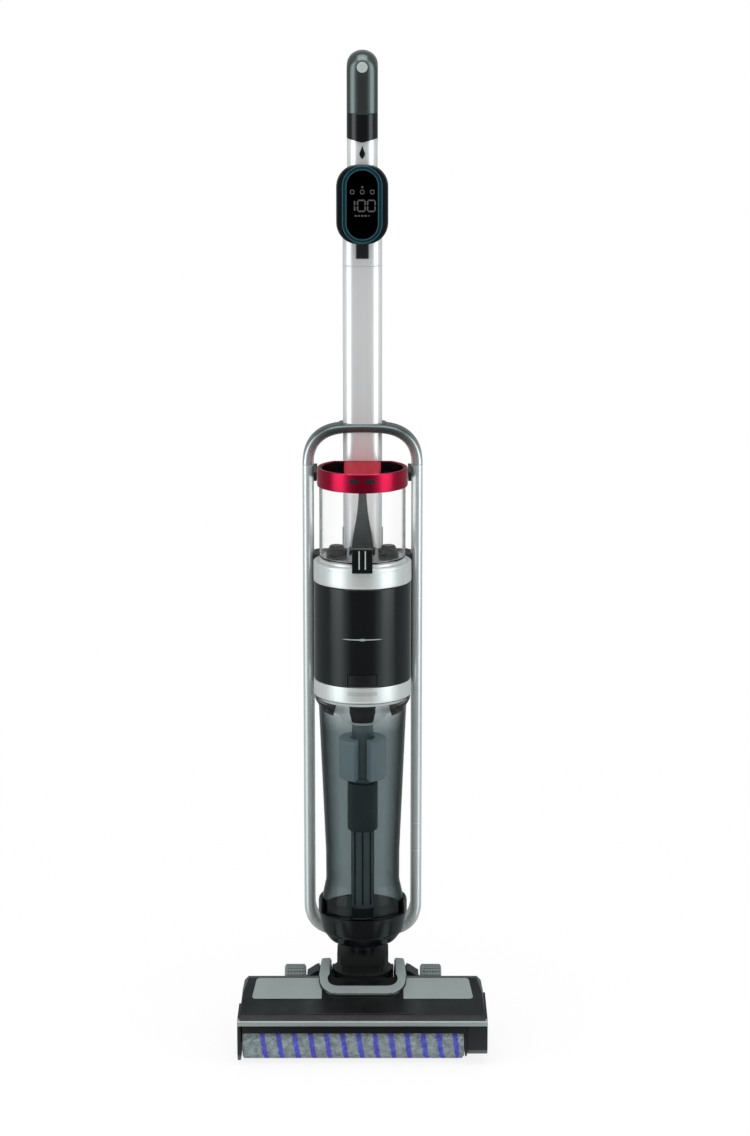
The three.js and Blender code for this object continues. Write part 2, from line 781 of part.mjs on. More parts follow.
const PIPE_R = 13;
const FOOT_R = BODY_R - 8.1;
const WAIST_R = BODY_R - 12.8;
const dirtyTank = revolve([
  [PIPE_R + GAP, CUP_RIM + 0.5],
  [FOOT_R, CUP_RIM + 0.5],
  [FOOT_R, 159],
  [WAIST_R, 181],
  [WAIST_R + 0.2, 215],
  [BODY_R - 5.1, 386],
  [BODY_R - 0.6, 394],
  [BODY_R - 0.6, TANK_TOP],
  [BODY_R - 3, TANK_TOP],
  [BODY_R - 3, 395],
  [BODY_R - 7.5, 387],
  [WAIST_R - 2.3, 215],
  [WAIST_R - 2.4, 182],
  [FOOT_R - WALL, 160],
  [FOOT_R - WALL, CUP_RIM + 3],
  [PIPE_R + GAP, CUP_RIM + 3],
]);
piece("dirty_tank", dirtyTank, "smoke");

const PIPE_TOP = 364;
piece(
  "suction_pipe",
  revolve(
    [
      [PIPE_R - 2.5, CUP_RIM + 0.5],
      [PIPE_R, CUP_RIM + 0.5],
      [PIPE_R, 296],
      [17, 298],
      [17, 301],
      [PIPE_R, 301],
      [PIPE_R, PIPE_TOP],
      [PIPE_R - 2.5, PIPE_TOP],
    ],
    24,
  ),
  "greyPlastic",
);

piece("float", ring(PIPE_R + SLIDE, 27, 301 + GAP, 347.5, 28), "bluish");

piece(
  "separator",
  revolve(
    [
      [17, PIPE_TOP + 1],
      [25, 371],
      [33.5, 394.8],
      [BODY_R - 3.4, 395.4],
      [BODY_R - 3.4, TANK_TOP - GAP],
      [32, TANK_TOP - GAP],
      [23.5, 373.5],
      [17, 367.5],
    ],
    32,
  ),
  "greyPlastic",
);

piece(
  "filter",
  revolve(
    [
      [0, 377],
      [24.2, 377],
      [31.2, TANK_TOP - GAP],
      [0, TANK_TOP - GAP],
    ],
    28,
  ),
  "filterWhite",
);

// ---- Cup and yoke ----

const STEM_R = 14;
const CUP_R = BODY_R - 4;
const EAR_IN = CUP_R - 3.5;
const cupEars = ring(EAR_IN, CUP_R, CUP_RIM - 1, 159.4).subtract(
  box(-EAR_IN, EAR_IN, -CUP_R - 9, CUP_R + 9, CUP_RIM - 2, 160),
);
const cupBase = revolve([
  [10.5, 78],
  [STEM_R, 78],
  [STEM_R, 106],
  [28, 106.4],
  [CUP_R - 12.9, 110.5],
  [CUP_R - 4.4, 122],
  [CUP_R, CUP_RIM],
  [EAR_IN, CUP_RIM],
  [CUP_R - 7.9, 124],
  [CUP_R - 14.9, 114],
  [STEM_R, 110],
  [STEM_R, CUP_RIM],
  [10.5, CUP_RIM],
])
  .add(cupEars)
  .add(
    box(-18, 18, RAIL_FRONT - 2, RAIL_BACK - 4, FOOT_TOP + GAP, 117).subtract(
      disc(CUP_R - 14.4, 100, 120),
    ),
  );
piece("cup_base", cupBase, "blackGloss");

const YOKE_TOP = 95.3;
const yoke = raise(roundedRect(-23, 23, -20, 20, 6), PIVOT_Z + 1.3, YOKE_TOP, 3)
  .add(raise(roundedRect(-29.2, 29.2, -24, 22, 5), 84, YOKE_TOP, 3))
  .add(disc(33.8, 69, 74.5, 32))
  .add(rodAcross(20, -CHEEK_IN + 0.4, CHEEK_IN - 0.4, PIVOT_Y, PIVOT_Z, 24))
  .subtract(disc(STEM_R + GAP, PIVOT_Z + 2.6, YOKE_TOP + 1))
  .subtract(box(-9.5, 9.5, -30, 2, PIVOT_Z + 3.7, 63))
  .subtract(
    rodAcross(5 + GAP, -CHEEK_IN - 1, -CHEEK_IN + 12, PIVOT_Y, PIVOT_Z, 12).add(
      rodAcross(5 + GAP, CHEEK_IN - 12, CHEEK_IN + 1, PIVOT_Y, PIVOT_Z, 12),
    ),
  );
piece("yoke", yoke, "blackSatin");

for (const side of [-1, 1]) {
  const inner = side * (CHEEK_IN - 11);
  const outer = side * (CHEEK_OUT - 0.5);
  const name = side > 0 ? "pivot_pin_right" : "pivot_pin_left";
  piece(
    name,
    rodAcross(5, Math.min(inner, outer), Math.max(inner, outer), PIVOT_Y, PIVOT_Z, 12),
    "steel",
  );
}

// ---- Floor head ----

const STRIP_LOW = 45.4;
const STRIP_TOP = 53.2;
const HOOD_HALF = HEAD_HALF - 2.5;
const CHAMBER_R = ROLLER_R + 3;
const ARC_R = CHAMBER_R + 2.6;
const FLOOR_LOW = 6;
const FLOOR_TOP = 9.5;
const MOTOR_R = ROLLER_R - FLOOR_TOP - 0.5; // it lies on the head's floor
const HEAD_BACK = -26;
const PLATE_X = ROLLER_RIGHT + 2.7;
const CAP_X = PLATE_X + GAP;

// The hood's top line, from the strip back to the rear edge, lowered by the given amount.
function hoodTop(drop) {
  return [
    [FRONT + 1.5 + drop * 0.5, STRIP_TOP + GAP],
    [-112, 57.2 - drop],
    [-80, 65.2 - drop],
    [-40, 75.5 - drop],
    [-31 - drop * 0.4, 74.5 - drop],
    [HEAD_BACK - drop, 68 - drop],
  ];
}

function underHood(drop, low) {
  const top = hoodTop(drop);
  return polygon([[FRONT + 1.5 + drop * 0.5, low], ...top, [HEAD_BACK - drop, low]].reverse());
}

const SHOULDER = polygon([
  [-HOOD_HALF, 0],
  [HOOD_HALF, 0],
  [HOOD_HALF, 56],
  [HOOD_HALF - 2.5, 68],
  [HOOD_HALF - 9, 77],
  [-HOOD_HALF + 9, 77],
  [-HOOD_HALF + 2.5, 68],
  [-HOOD_HALF, 56],
]);
const INNER_SHOULDER = polygon([
  [-HOOD_HALF + 3, 0],
  [HOOD_HALF - 3, 0],
  [HOOD_HALF - 3, 55],
  [HOOD_HALF - 5.5, 66],
  [HOOD_HALF - 11, 74],
  [-HOOD_HALF + 11, 74],
  [-HOOD_HALF + 5.5, 66],
  [-HOOD_HALF + 3, 55],
]);
const PANEL_BACK = -41;
const PANEL_FRONT = -82;
const PANEL_IN = 54;
const PANEL_OUT = HEAD_HALF - 20.5;

function panelOutline(side, grow) {
  const inner = side * (PANEL_IN - grow);
  const outer = side * (PANEL_OUT + grow);
  const points = [
    [inner, PANEL_FRONT - grow],
    [outer - side * 4, PANEL_FRONT - grow],
    [outer, PANEL_BACK + grow],
    [inner, PANEL_BACK + grow],
  ];
  return polygon(side > 0 ? points : points.reverse());
}

const hoodOuter = carryAcross(underHood(0, 12), -HOOD_HALF, HOOD_HALF).intersect(
  carryBack(SHOULDER, FRONT - 5, 0),
);
const hoodInner = carryAcross(underHood(3, 11), -HOOD_HALF, HOOD_HALF).intersect(
  carryBack(INNER_SHOULDER, FRONT - 5, 0),
);
const panelRecess = raise(panelOutline(1, GAP), 40, 90)
  .add(raise(panelOutline(-1, GAP), 40, 90))
  .subtract(carryAcross(underHood(1.6, 0), -HOOD_HALF - 1, HOOD_HALF + 1));
const headHood = hoodOuter
  .subtract(hoodInner)
  .subtract(box(-HEAD_HALF, HEAD_HALF, FRONT - 5, -62, 0, STRIP_TOP + GAP))
  .subtract(box(CAP_X - 1, HEAD_HALF, FRONT - 5, 0, 0, STRIP_TOP + GAP))
  .subtract(box(-CHEEK_IN - 1, CHEEK_IN + 1, -40, 0, 0, 90))
  .subtract(panelRecess);
piece("head_hood", headHood, "blackGloss");

for (const side of [-1, 1]) {
  const name = side > 0 ? "top_panel_right" : "top_panel_left";
  piece(
    name,
    raise(panelOutline(side, 0), 40, 90).intersect(
      carryAcross(underHood(0, 0), -HOOD_HALF, HOOD_HALF).subtract(
        carryAcross(underHood(1.6 - GAP, -1), -HOOD_HALF - 1, HOOD_HALF + 1),
      ),
    ),
    "panel",
  );
}

piece(
  "front_strip",
  carryAcross(
    polygon([
      [FRONT, STRIP_LOW + 1.5],
      [FRONT + 1.5, STRIP_LOW],
      [-113, STRIP_LOW],
      [-113, STRIP_TOP],
      [FRONT + 1.5, STRIP_TOP],
      [FRONT, STRIP_TOP - 1.5],
    ]),
    -HEAD_HALF,
    HEAD_HALF,
  ),
  "panel",
);

// The base: an arc-shaped wall over the roller, a floor, cheeks for the yoke and wheel arms.
function chamberWall(x0, x1) {
  const wall = new THREE.Shape();
  wall.absarc(ROLLER_Y, ROLLER_R, ARC_R, -0.52, 2.05, false);
  wall.absarc(ROLLER_Y, ROLLER_R, CHAMBER_R, 2.05, -0.52, true);
  return carryAcross(wall, x0, x1, 9);
}

const armSide = polygon([
  [28, 18],
  [58, 17],
  [72, 20],
  [74, 30],
  [68, 38],
  [36, 52],
  [28, 52],
]);
const cheekSide = polygon([
  [HEAD_BACK - 6, FLOOR_LOW],
  [36, FLOOR_LOW],
  [42, 14],
  [42, 54],
  [30, 65.8],
  [HEAD_BACK + GAP, 65.8],
  [HEAD_BACK + GAP, FLOOR_TOP + 1],
  [HEAD_BACK - 6, FLOOR_TOP + 1],
]);
const plateSide = polygon([
  [-117, 12],
  [-108, 7],
  [-60, FLOOR_LOW],
  [HEAD_BACK - 4, FLOOR_LOW],
  [HEAD_BACK - 4, 50],
  [-60, 53],
  [-112.6, 53],
  [-112.6, STRIP_LOW - GAP],
  [-117, 44],
]);
let headBase = chamberWall(ROLLER_LEFT + 1, PLATE_X - 1)
  .add(box(ROLLER_LEFT + 1.5, PLATE_X - 1, -69, HEAD_BACK - 4, FLOOR_LOW, FLOOR_TOP).subtract(
    rodAcross(CHAMBER_R + 0.5, -HEAD_HALF, HEAD_HALF, ROLLER_Y, ROLLER_R),
  ))
  .add(box(ROLLER_LEFT + 3.5, PLATE_X - 1, HEAD_BACK - 7, HEAD_BACK - 4, FLOOR_LOW, 60))
  .add(carryAcross(plateSide, ROLLER_RIGHT + 0.5, PLATE_X))
  .add(box(-CHEEK_OUT, CHEEK_OUT, HEAD_BACK - 8, 36, FLOOR_LOW, FLOOR_TOP));
for (const side of [-1, 1]) {
  const cheek = side > 0 ? [CHEEK_IN, CHEEK_OUT] : [-CHEEK_OUT, -CHEEK_IN];
  const armOut = WHEEL_IN - 0.8;
  const arm = side > 0 ? [CHEEK_OUT - 1, armOut] : [-armOut, -CHEEK_OUT + 1];
  const pin = side > 0 ? [armOut - 1, WHEEL_OUT - 2] : [-WHEEL_OUT + 2, -armOut + 1];
  headBase = headBase
    .add(carryAcross(cheekSide, cheek[0], cheek[1]))
    .add(carryAcross(armSide, arm[0], arm[1]))
    .add(rodAcross(4, pin[0], pin[1], WHEEL_Y, WHEEL_R, 16));
}
headBase = headBase
  .subtract(rodAcross(5 + GAP, -CHEEK_OUT - 1, CHEEK_OUT + 1, PIVOT_Y, PIVOT_Z, 12))
  .subtract(rodAcross(6 + SLIDE, ROLLER_RIGHT - 2, PLATE_X + 2, ROLLER_Y, ROLLER_R, 20))
  .subtract(rodAcross(3 + SLIDE, ROLLER_RIGHT - 2, PLATE_X + 2, BELT_MOTOR_Y, ROLLER_R, 16))
  .subtract(box(-17 - GAP, 17 + GAP, -72, HEAD_BACK + 1, 34 - GAP, 66 + GAP));
piece("head_base", headBase, "blackSatin");

piece(
  "head_duct",
  box(-17, 17, -59.5, -20 - SLIDE, 34, 66).subtract(
    box(-14.5, 14.5, -80, 0, 36.5, 63.5),
  ),
  "blackSatin",
);

const squeegee = box(ROLLER_LEFT + 3.5, ROLLER_RIGHT - 2, -62.5, -59.5, 0.8, FLOOR_LOW - GAP);
piece("squeegee", squeegee, "rubber");

piece(
  "left_end_plate",
  carryAcross(
    polygon([
      [-118.5, 12],
      [-112, 4],
      [-70, 3],
      [-62.5, 10],
      [-62.5, STRIP_TOP],
      [-112.6, STRIP_TOP],
      [-112.6, STRIP_LOW - GAP],
      [-118.5, STRIP_LOW - GAP],
    ]),
    -HEAD_HALF,
    ROLLER_LEFT - 1,
  ).add(rodAcross(6, -HEAD_HALF + 1, ROLLER_LEFT + 12.5, ROLLER_Y, ROLLER_R, 20)),
  "blackSatin",
);

const CAP_LOW = ROLLER_R - 12.4;
function capSide(inset) {
  return polygon([
    [FRONT + 2 + inset, CAP_LOW + 6.4],
    [-112 + inset * 0.5, CAP_LOW + inset],
    [-40, CAP_LOW + inset],
    [HEAD_BACK - inset, CAP_LOW + 8.4],
    [HEAD_BACK - inset, STRIP_TOP - inset],
    [-112.6 + inset, STRIP_TOP - inset],
    [-112.6 + inset, STRIP_LOW - GAP - inset],
    [FRONT + 2 + inset, STRIP_LOW - GAP - inset],
  ]);
}

piece(
  "right_end_cap",
  carryAcross(capSide(0), CAP_X, HEAD_HALF).subtract(
    carryAcross(capSide(2.5), CAP_X - 1, HEAD_HALF - 2.5),
  ),
  "blackSatin",
);

// The roller and its belt drive. Places along X: pulleys sit inside the right end cap.
const PULLEY_IN = CAP_X + 2;
const PULLEY_OUT = CAP_X + 11;
const MOTOR_END = ROLLER_RIGHT - 2;
const BIG_PULLEY = 7.5;
const SMALL_PULLEY = 5;
const CORE_R = ROLLER_R - 7.3;
piece(
  "roller_core",
  revolveAcross(
    [
      [0, ROLLER_RIGHT - 4],
      [CORE_R - 3.2, ROLLER_RIGHT - 4],
      [CORE_R - 3.2, ROLLER_LEFT + 11.9],
      [6 + SLIDE, ROLLER_LEFT + 11.9],
      [6 + SLIDE, ROLLER_LEFT],
      [CORE_R, ROLLER_LEFT],
      [CORE_R, ROLLER_RIGHT],
      [6, ROLLER_RIGHT],
      [6, PULLEY_IN],
      [BIG_PULLEY, PULLEY_IN],
      [BIG_PULLEY, PULLEY_OUT],
      [0, PULLEY_OUT],
    ],
    20,
    ROLLER_Y,
    ROLLER_R,
  ),
  "greyPlastic",
);
piece(
  "roller_pile",
  tubeAcross(CORE_R + GAP, ROLLER_R, ROLLER_LEFT, ROLLER_RIGHT, ROLLER_Y, ROLLER_R, 32),
  "pile",
);

piece(
  "brush_motor",
  revolveAcross(
    [
      [0, MOTOR_END - 72],
      [MOTOR_R, MOTOR_END - 72],
      [MOTOR_R, MOTOR_END - 6],
      [5, MOTOR_END - 6],
      [5, MOTOR_END],
      [0, MOTOR_END],
    ],
    24,
    BELT_MOTOR_Y,
    ROLLER_R,
  ),
  "steel",
);
piece(
  "motor_pulley",
  revolveAcross(
    [
      [0, MOTOR_END + GAP],
      [3, MOTOR_END + GAP],
      [3, PULLEY_IN],
      [SMALL_PULLEY, PULLEY_IN],
      [SMALL_PULLEY, PULLEY_OUT],
      [0, PULLEY_OUT],
    ],
    20,
    BELT_MOTOR_Y,
    ROLLER_R,
  ),
  "greyPlastic",
);

function beltOutline(clear) {
  const big = BIG_PULLEY + clear;
  const small = SMALL_PULLEY + clear;
  const lean = Math.acos((big - small) / (BELT_MOTOR_Y - ROLLER_Y));
  const outline = new THREE.Shape();
  outline.absarc(BELT_MOTOR_Y, ROLLER_R, small, -lean, lean, false);
  outline.absarc(ROLLER_Y, ROLLER_R, big, lean, Math.PI * 2 - lean, false);
  return outline;
}

piece(
  "drive_belt",
  carryAcross(beltOutline(1.9), PULLEY_IN + 1, PULLEY_OUT - 1, 5).subtract(
    carryAcross(beltOutline(0.4), PULLEY_IN, PULLEY_OUT, 5),
  ),
  "rubber",
);

// Rear wheels.
for (const side of [-1, 1]) {
  const x0 = side > 0 ? WHEEL_IN : -WHEEL_OUT;
  const x1 = side > 0 ? WHEEL_OUT : -WHEEL_IN;
  const name = side > 0 ? "right" : "left";
  piece(
    `wheel_hub_${name}`,
    tubeAcross(4 + SLIDE, 20.5, x0 + 1, x1 - 1, WHEEL_Y, WHEEL_R, 20),
    "blackSatin",
  );
  piece(
    `wheel_tyre_${name}`,
    tubeAcross(20.5 + GAP, WHEEL_R, x0, x1, WHEEL_Y, WHEEL_R, 28),
    "wheelGrey",
  );
}

// The saddle: a U-shaped bezel round the yoke, open at the back.
const saddlePlan = new THREE.Shape();
saddlePlan.moveTo(-47, 24);
saddlePlan.lineTo(-50, -56);
saddlePlan.quadraticCurveTo(-50, -77, -32, -77);
saddlePlan.lineTo(32, -77);
saddlePlan.quadraticCurveTo(50, -77, 50, -56);
saddlePlan.lineTo(47, 24);
saddlePlan.lineTo(36, 24);
saddlePlan.lineTo(36, -34);
saddlePlan.quadraticCurveTo(36, -43, 26, -43);
saddlePlan.lineTo(-26, -43);
saddlePlan.quadraticCurveTo(-36, -43, -36, -34);
saddlePlan.lineTo(-36, 24);
const saddleSide = polygon([
  [-78, 64],
  [-78, 68.5],
  [-74, 71],
  [-40, 80],
  [24, 84],
  [24, 66.1],
  [HEAD_BACK + GAP, 66.1],
  [HEAD_BACK + GAP, 60],
].reverse());
const saddleBezel = raise(saddlePlan, 50, 90, 4)
  .intersect(carryAcross(saddleSide, -60, 60))
  .subtract(carryAcross(underHood(-GAP, 0), -70, 70))
  .subtract(box(-60, 60, HEAD_BACK - 10, HEAD_BACK + GAP, 0, 69));
piece("saddle_bezel", saddleBezel, "panel");

export default group;
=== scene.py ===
import math

import bmesh
import bpy
from mathutils import Matrix, Vector


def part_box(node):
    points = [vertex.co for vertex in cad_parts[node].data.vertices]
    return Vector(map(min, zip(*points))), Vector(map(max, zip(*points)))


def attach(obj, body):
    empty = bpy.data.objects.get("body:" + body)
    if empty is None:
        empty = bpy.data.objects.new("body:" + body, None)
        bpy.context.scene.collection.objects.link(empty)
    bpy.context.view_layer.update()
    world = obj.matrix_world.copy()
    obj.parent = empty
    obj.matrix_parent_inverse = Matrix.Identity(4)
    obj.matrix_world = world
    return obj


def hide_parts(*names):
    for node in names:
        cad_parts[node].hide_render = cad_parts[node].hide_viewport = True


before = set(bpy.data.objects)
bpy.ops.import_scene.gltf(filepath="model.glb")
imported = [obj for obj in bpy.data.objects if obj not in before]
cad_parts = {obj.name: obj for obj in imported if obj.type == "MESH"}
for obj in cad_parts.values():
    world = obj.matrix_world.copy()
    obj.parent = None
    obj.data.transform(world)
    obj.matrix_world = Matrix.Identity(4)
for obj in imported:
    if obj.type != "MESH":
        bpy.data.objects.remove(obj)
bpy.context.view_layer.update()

# Sizes below are millimetres. X is the width, -Y the front, Z up from the floor.
MM = 0.001
WHOLE_TURN = 96


def corners(node):
    """Lowest and highest corner of a CAD node, in millimetres."""
    low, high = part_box(node)
    return low / MM, high / MM


# ---- Camera ----

camera_data = bpy.data.cameras.new("camera")
camera_data.lens = 98.69
camera_data.sensor_width = 36.0
camera_data.clip_end = 200.0
camera = bpy.data.objects.new("camera", camera_data)
camera.location = (0.014, -3.4, 1.27)
camera.rotation_euler = (math.radians(90 - 12.0785), 0, 0)
bpy.context.scene.collection.objects.link(camera)
bpy.context.scene.camera = camera
bpy.context.scene.view_settings.view_transform = "Standard"


# ---- Shader node groups shared by the finishes ----


def link(tree, a, b):
    tree.links.new(a, b)


def group_tree(name, inputs, outputs):
    tree = bpy.data.node_groups.new(name, "ShaderNodeTree")
    for label, value in inputs:
        socket = tree.interface.new_socket(label, in_out="INPUT", socket_type="NodeSocketFloat")
        socket.default_value = value
    for label in outputs:
        tree.interface.new_socket(label, in_out="OUTPUT", socket_type="NodeSocketFloat")
    return tree, tree.nodes.new("NodeGroupInput"), tree.nodes.new("NodeGroupOutput")


def object_place(tree, stretch=(1, 1, 1)):
    coordinate = tree.nodes.new("ShaderNodeTexCoord")
    mapping = tree.nodes.new("ShaderNodeMapping")
    mapping.inputs["Scale"].default_value = stretch
    link(tree, coordinate.outputs["Object"], mapping.inputs["Vector"])
    return mapping.outputs["Vector"]


def object_parts(tree):
    """The place on the object, split into X, Y and Z."""
    coordinate = tree.nodes.new("ShaderNodeTexCoord")
    parts = tree.nodes.new("ShaderNodeSeparateXYZ")
    link(tree, coordinate.outputs["Object"], parts.inputs["Vector"])
    return parts


def noise(tree, place, scale, detail=3.0, roughness=0.5):
    node = tree.nodes.new("ShaderNodeTexNoise")
    node.inputs["Scale"].default_value = scale
    node.inputs["Detail"].default_value = detail
    node.inputs["Roughness"].default_value = roughness
    link(tree, place, node.inputs["Vector"])
    return node


def math_node(tree, operation, a, b=None):
    node = tree.nodes.new("ShaderNodeMath")
    node.operation = operation
    for index, value in enumerate((a, b)):
        if value is None:
            continue
        if isinstance(value, (int, float)):
            node.inputs[index].default_value = value
        else:
            link(tree, value, node.inputs[index])
    return node.outputs[0]


def map_range(tree, value, from_min, from_max, to_min, to_max):
    node = tree.nodes.new("ShaderNodeMapRange")
    for label, number in zip(
        ("From Min", "From Max", "To Min", "To Max"), (from_min, from_max, to_min, to_max)
    ):
        node.inputs[label].default_value = number
    link(tree, value, node.inputs["Value"])
    return node.outputs["Result"]


def build_moulded_grain():
    """Fine spark-eroded grain with broad handling patches."""
    tree, given, result = group_tree(
        "moulded_grain", [("Grain Size", 1500.0)], ["Height", "Patches", "Specks"]
    )
    place = object_place(tree)
    fine = noise(tree, place, 1500.0, 2.0, 0.6)
    link(tree, given.outputs["Grain Size"], fine.inputs["Scale"])
    broad = noise(tree, place, 14.0, 4.0, 0.6)
    specks = noise(tree, place, 420.0, 1.0, 0.5)
    link(tree, fine.outputs["Fac"], result.inputs["Height"])
    link(tree, broad.outputs["Fac"], result.inputs["Patches"])
    link(
        tree, map_range(tree, specks.outputs["Fac"], 0.72, 0.78, 0.0, 1.0), result.inputs["Specks"]
    )
    return tree


def build_brushed_lines():
    """Long fine lines drawn along Z, as on extruded and brushed metal."""
    tree, given, result = group_tree(
        "brushed_lines", [("Line Count", 1.0)], ["Height", "Streaks", "Patches"]
    )
    place = object_place(tree, (1800.0, 1800.0, 9.0))
    lines = noise(tree, place, 1.0, 3.0, 0.7)
    link(tree, given.outputs["Line Count"], lines.inputs["Scale"])
    wide = noise(tree, object_place(tree, (240.0, 240.0, 3.0)), 1.0, 2.0, 0.5)
    broad = noise(tree, object_place(tree), 11.0, 3.0, 0.6)
    link(tree, lines.outputs["Fac"], result.inputs["Height"])
    link(tree, wide.outputs["Fac"], result.inputs["Streaks"])
    link(tree, broad.outputs["Fac"], result.inputs["Patches"])
    return tree


def build_settled_dust():
    """A thin veil of dust on faces that look up, thicker in patches."""
    tree, given, result = group_tree("settled_dust", [("Amount", 0.12)], ["Mask"])
    normal = tree.nodes.new("ShaderNodeNewGeometry")
    parts = tree.nodes.new("ShaderNodeSeparateXYZ")
    link(tree, normal.outputs["Normal"], parts.inputs["Vector"])
    upward = map_range(tree, parts.outputs["Z"], 0.55, 1.0, 0.0, 1.0)
    clouds = noise(tree, object_place(tree), 38.0, 5.0, 0.65)
    cover = map_range(tree, clouds.outputs["Fac"], 0.35, 0.75, 0.0, 1.0)
    amount = math_node(tree, "MULTIPLY", upward, cover)
    link(tree, math_node(tree, "MULTIPLY", amount, given.outputs["Amount"]), result.inputs["Mask"])
    return tree


def build_hairline_scratches():
    """Sparse hairline scratches in two directions."""
    tree, given, result = group_tree("hairline_scratches", [("Density", 1.0)], ["Mask"])
    masks = []
    for stretch, turn in (((30.0, 30.0, 900.0), 0.35), ((700.0, 40.0, 60.0), -0.5)):
        coordinate = tree.nodes.new("ShaderNodeTexCoord")
        mapping = tree.nodes.new("ShaderNodeMapping")
        mapping.inputs["Scale"].default_value = stretch
        mapping.inputs["Rotation"].default_value = (turn, turn, turn)
        link(tree, coordinate.outputs["Object"], mapping.inputs["Vector"])
        lines = noise(tree, mapping.outputs["Vector"], 1.0, 1.0, 0.4)
        link(tree, given.outputs["Density"], lines.inputs["Scale"])
        masks.append(map_range(tree, lines.outputs["Fac"], 0.76, 0.8, 0.0, 1.0))
    link(tree, math_node(tree, "MAXIMUM", masks[0], masks[1]), result.inputs["Mask"])
    return tree


MOULDED_GRAIN = build_moulded_grain()
BRUSHED_LINES = build_brushed_lines()
SETTLED_DUST = build_settled_dust()
HAIRLINE_SCRATCHES = build_hairline_scratches()


def group_node(tree, group, **values):
    node = tree.nodes.new("ShaderNodeGroup")
    node.node_tree = group
    for label, value in values.items():
        node.inputs[label.replace("_", " ")].default_value = value
    return node


def mix_colour(tree, factor, a, b):
    node = tree.nodes.new("ShaderNodeMix")
    node.data_type = "RGBA"
    link(tree, factor, node.inputs["Factor"])
    for label, value in (("A", a), ("B", b)):
        socket = next(s for s in node.inputs if s.name == label and s.type == "RGBA")
        if isinstance(value, tuple):
            socket.default_value = (*value, 1.0)
        else:
            link(tree, value, socket)
    return next(s for s in node.outputs if s.type == "RGBA")


def bump(tree, height, strength, distance):
    node = tree.nodes.new("ShaderNodeBump")
    node.inputs["Strength"].default_value = strength
    node.inputs["Distance"].default_value = distance
    link(tree, height, node.inputs["Height"])
    return node.outputs["Normal"]


DUST_ON_PLASTIC = (0.42, 0.41, 0.39)
DUST_ON_METAL = (0.5, 0.49, 0.47)
DUST_ON_LACQUER = (0.5, 0.48, 0.46)


def new_finish(name):
    finish = bpy.data.materials.new(name)
    finish.use_nodes = True
    shader = finish.node_tree.nodes["Principled BSDF"]
    return finish, finish.node_tree, shader


def shade(colour, amount):
    return tuple(min(1.0, c * amount) for c in colour)


def plastic(name, colour, roughness, grain=1500.0, relief=0.12, coat=0.0, dust=0.1, spread=0.06,
            metallic=0.0, specular=0.5):
    """Moulded plastic: grain in the relief, patches in the gloss, specks, dust on top."""
    finish, tree, shader = new_finish(name)
    shader.inputs["Metallic"].default_value = metallic
    shader.inputs["Coat Weight"].default_value = coat
    shader.inputs["Coat Roughness"].default_value = 0.04
    shader.inputs["Specular IOR Level"].default_value = specular
    surface = group_node(tree, MOULDED_GRAIN, Grain_Size=grain)
    veil = group_node(tree, SETTLED_DUST, Amount=dust)
    scratches = group_node(tree, HAIRLINE_SCRATCHES, Density=1.0)
    tone = mix_colour(tree, surface.outputs["Patches"], shade(colour, 0.86), shade(colour, 1.14))
    speckled = mix_colour(
        tree,
        math_node(tree, "MULTIPLY", surface.outputs["Specks"], 0.25),
        tone,
        shade(colour, 1.5),
    )
    dusty = mix_colour(tree, veil.outputs["Mask"], speckled, DUST_ON_PLASTIC)
    link(tree, dusty, shader.inputs["Base Color"])
    gloss = map_range(
        tree, surface.outputs["Patches"], 0.3, 0.7, roughness - spread, roughness + spread
    )
    worn = math_node(
        tree, "ADD", gloss, math_node(tree, "MULTIPLY", scratches.outputs["Mask"], 0.08)
    )
    link(tree, math_node(tree, "ADD", worn, veil.outputs["Mask"]), shader.inputs["Roughness"])
    link(tree, bump(tree, surface.outputs["Height"], relief, 0.00012), shader.inputs["Normal"])
    return finish


def metal(name, colour, roughness, relief=0.12, spread=0.05, coat=0.0, dust=0.02, metallic=1.0,
          low_colour=None):
    """Brushed or drawn metal: fine lines in the relief and the gloss, soft streaks in the tone."""
    finish, tree, shader = new_finish(name)
    shader.inputs["Metallic"].default_value = metallic
    shader.inputs["Coat Weight"].default_value = coat
    shader.inputs["Coat Roughness"].default_value = 0.06
    lines = group_node(tree, BRUSHED_LINES, Line_Count=1.0)
    veil = group_node(tree, SETTLED_DUST, Amount=dust)
    scratches = group_node(tree, HAIRLINE_SCRATCHES, Density=0.8)
    tone = mix_colour(tree, lines.outputs["Streaks"], shade(colour, 0.92), shade(colour, 1.06))
    if low_colour:
        parts = object_parts(tree)
        share = map_range(tree, parts.outputs["Z"], 0.653, 0.69, 0.0, 1.0)
        tone = mix_colour(tree, share, low_colour, tone)
    link(
        tree,
        mix_colour(tree, veil.outputs["Mask"], tone, DUST_ON_METAL),
        shader.inputs["Base Color"],
    )
    gloss = map_range(
        tree, lines.outputs["Height"], 0.3, 0.7, roughness - spread, roughness + spread
    )
    worn = math_node(
        tree, "ADD", gloss, math_node(tree, "MULTIPLY", scratches.outputs["Mask"], 0.1)
    )
    link(tree, worn, shader.inputs["Roughness"])
    link(tree, bump(tree, lines.outputs["Height"], relief, 0.00008), shader.inputs["Normal"])
    return finish


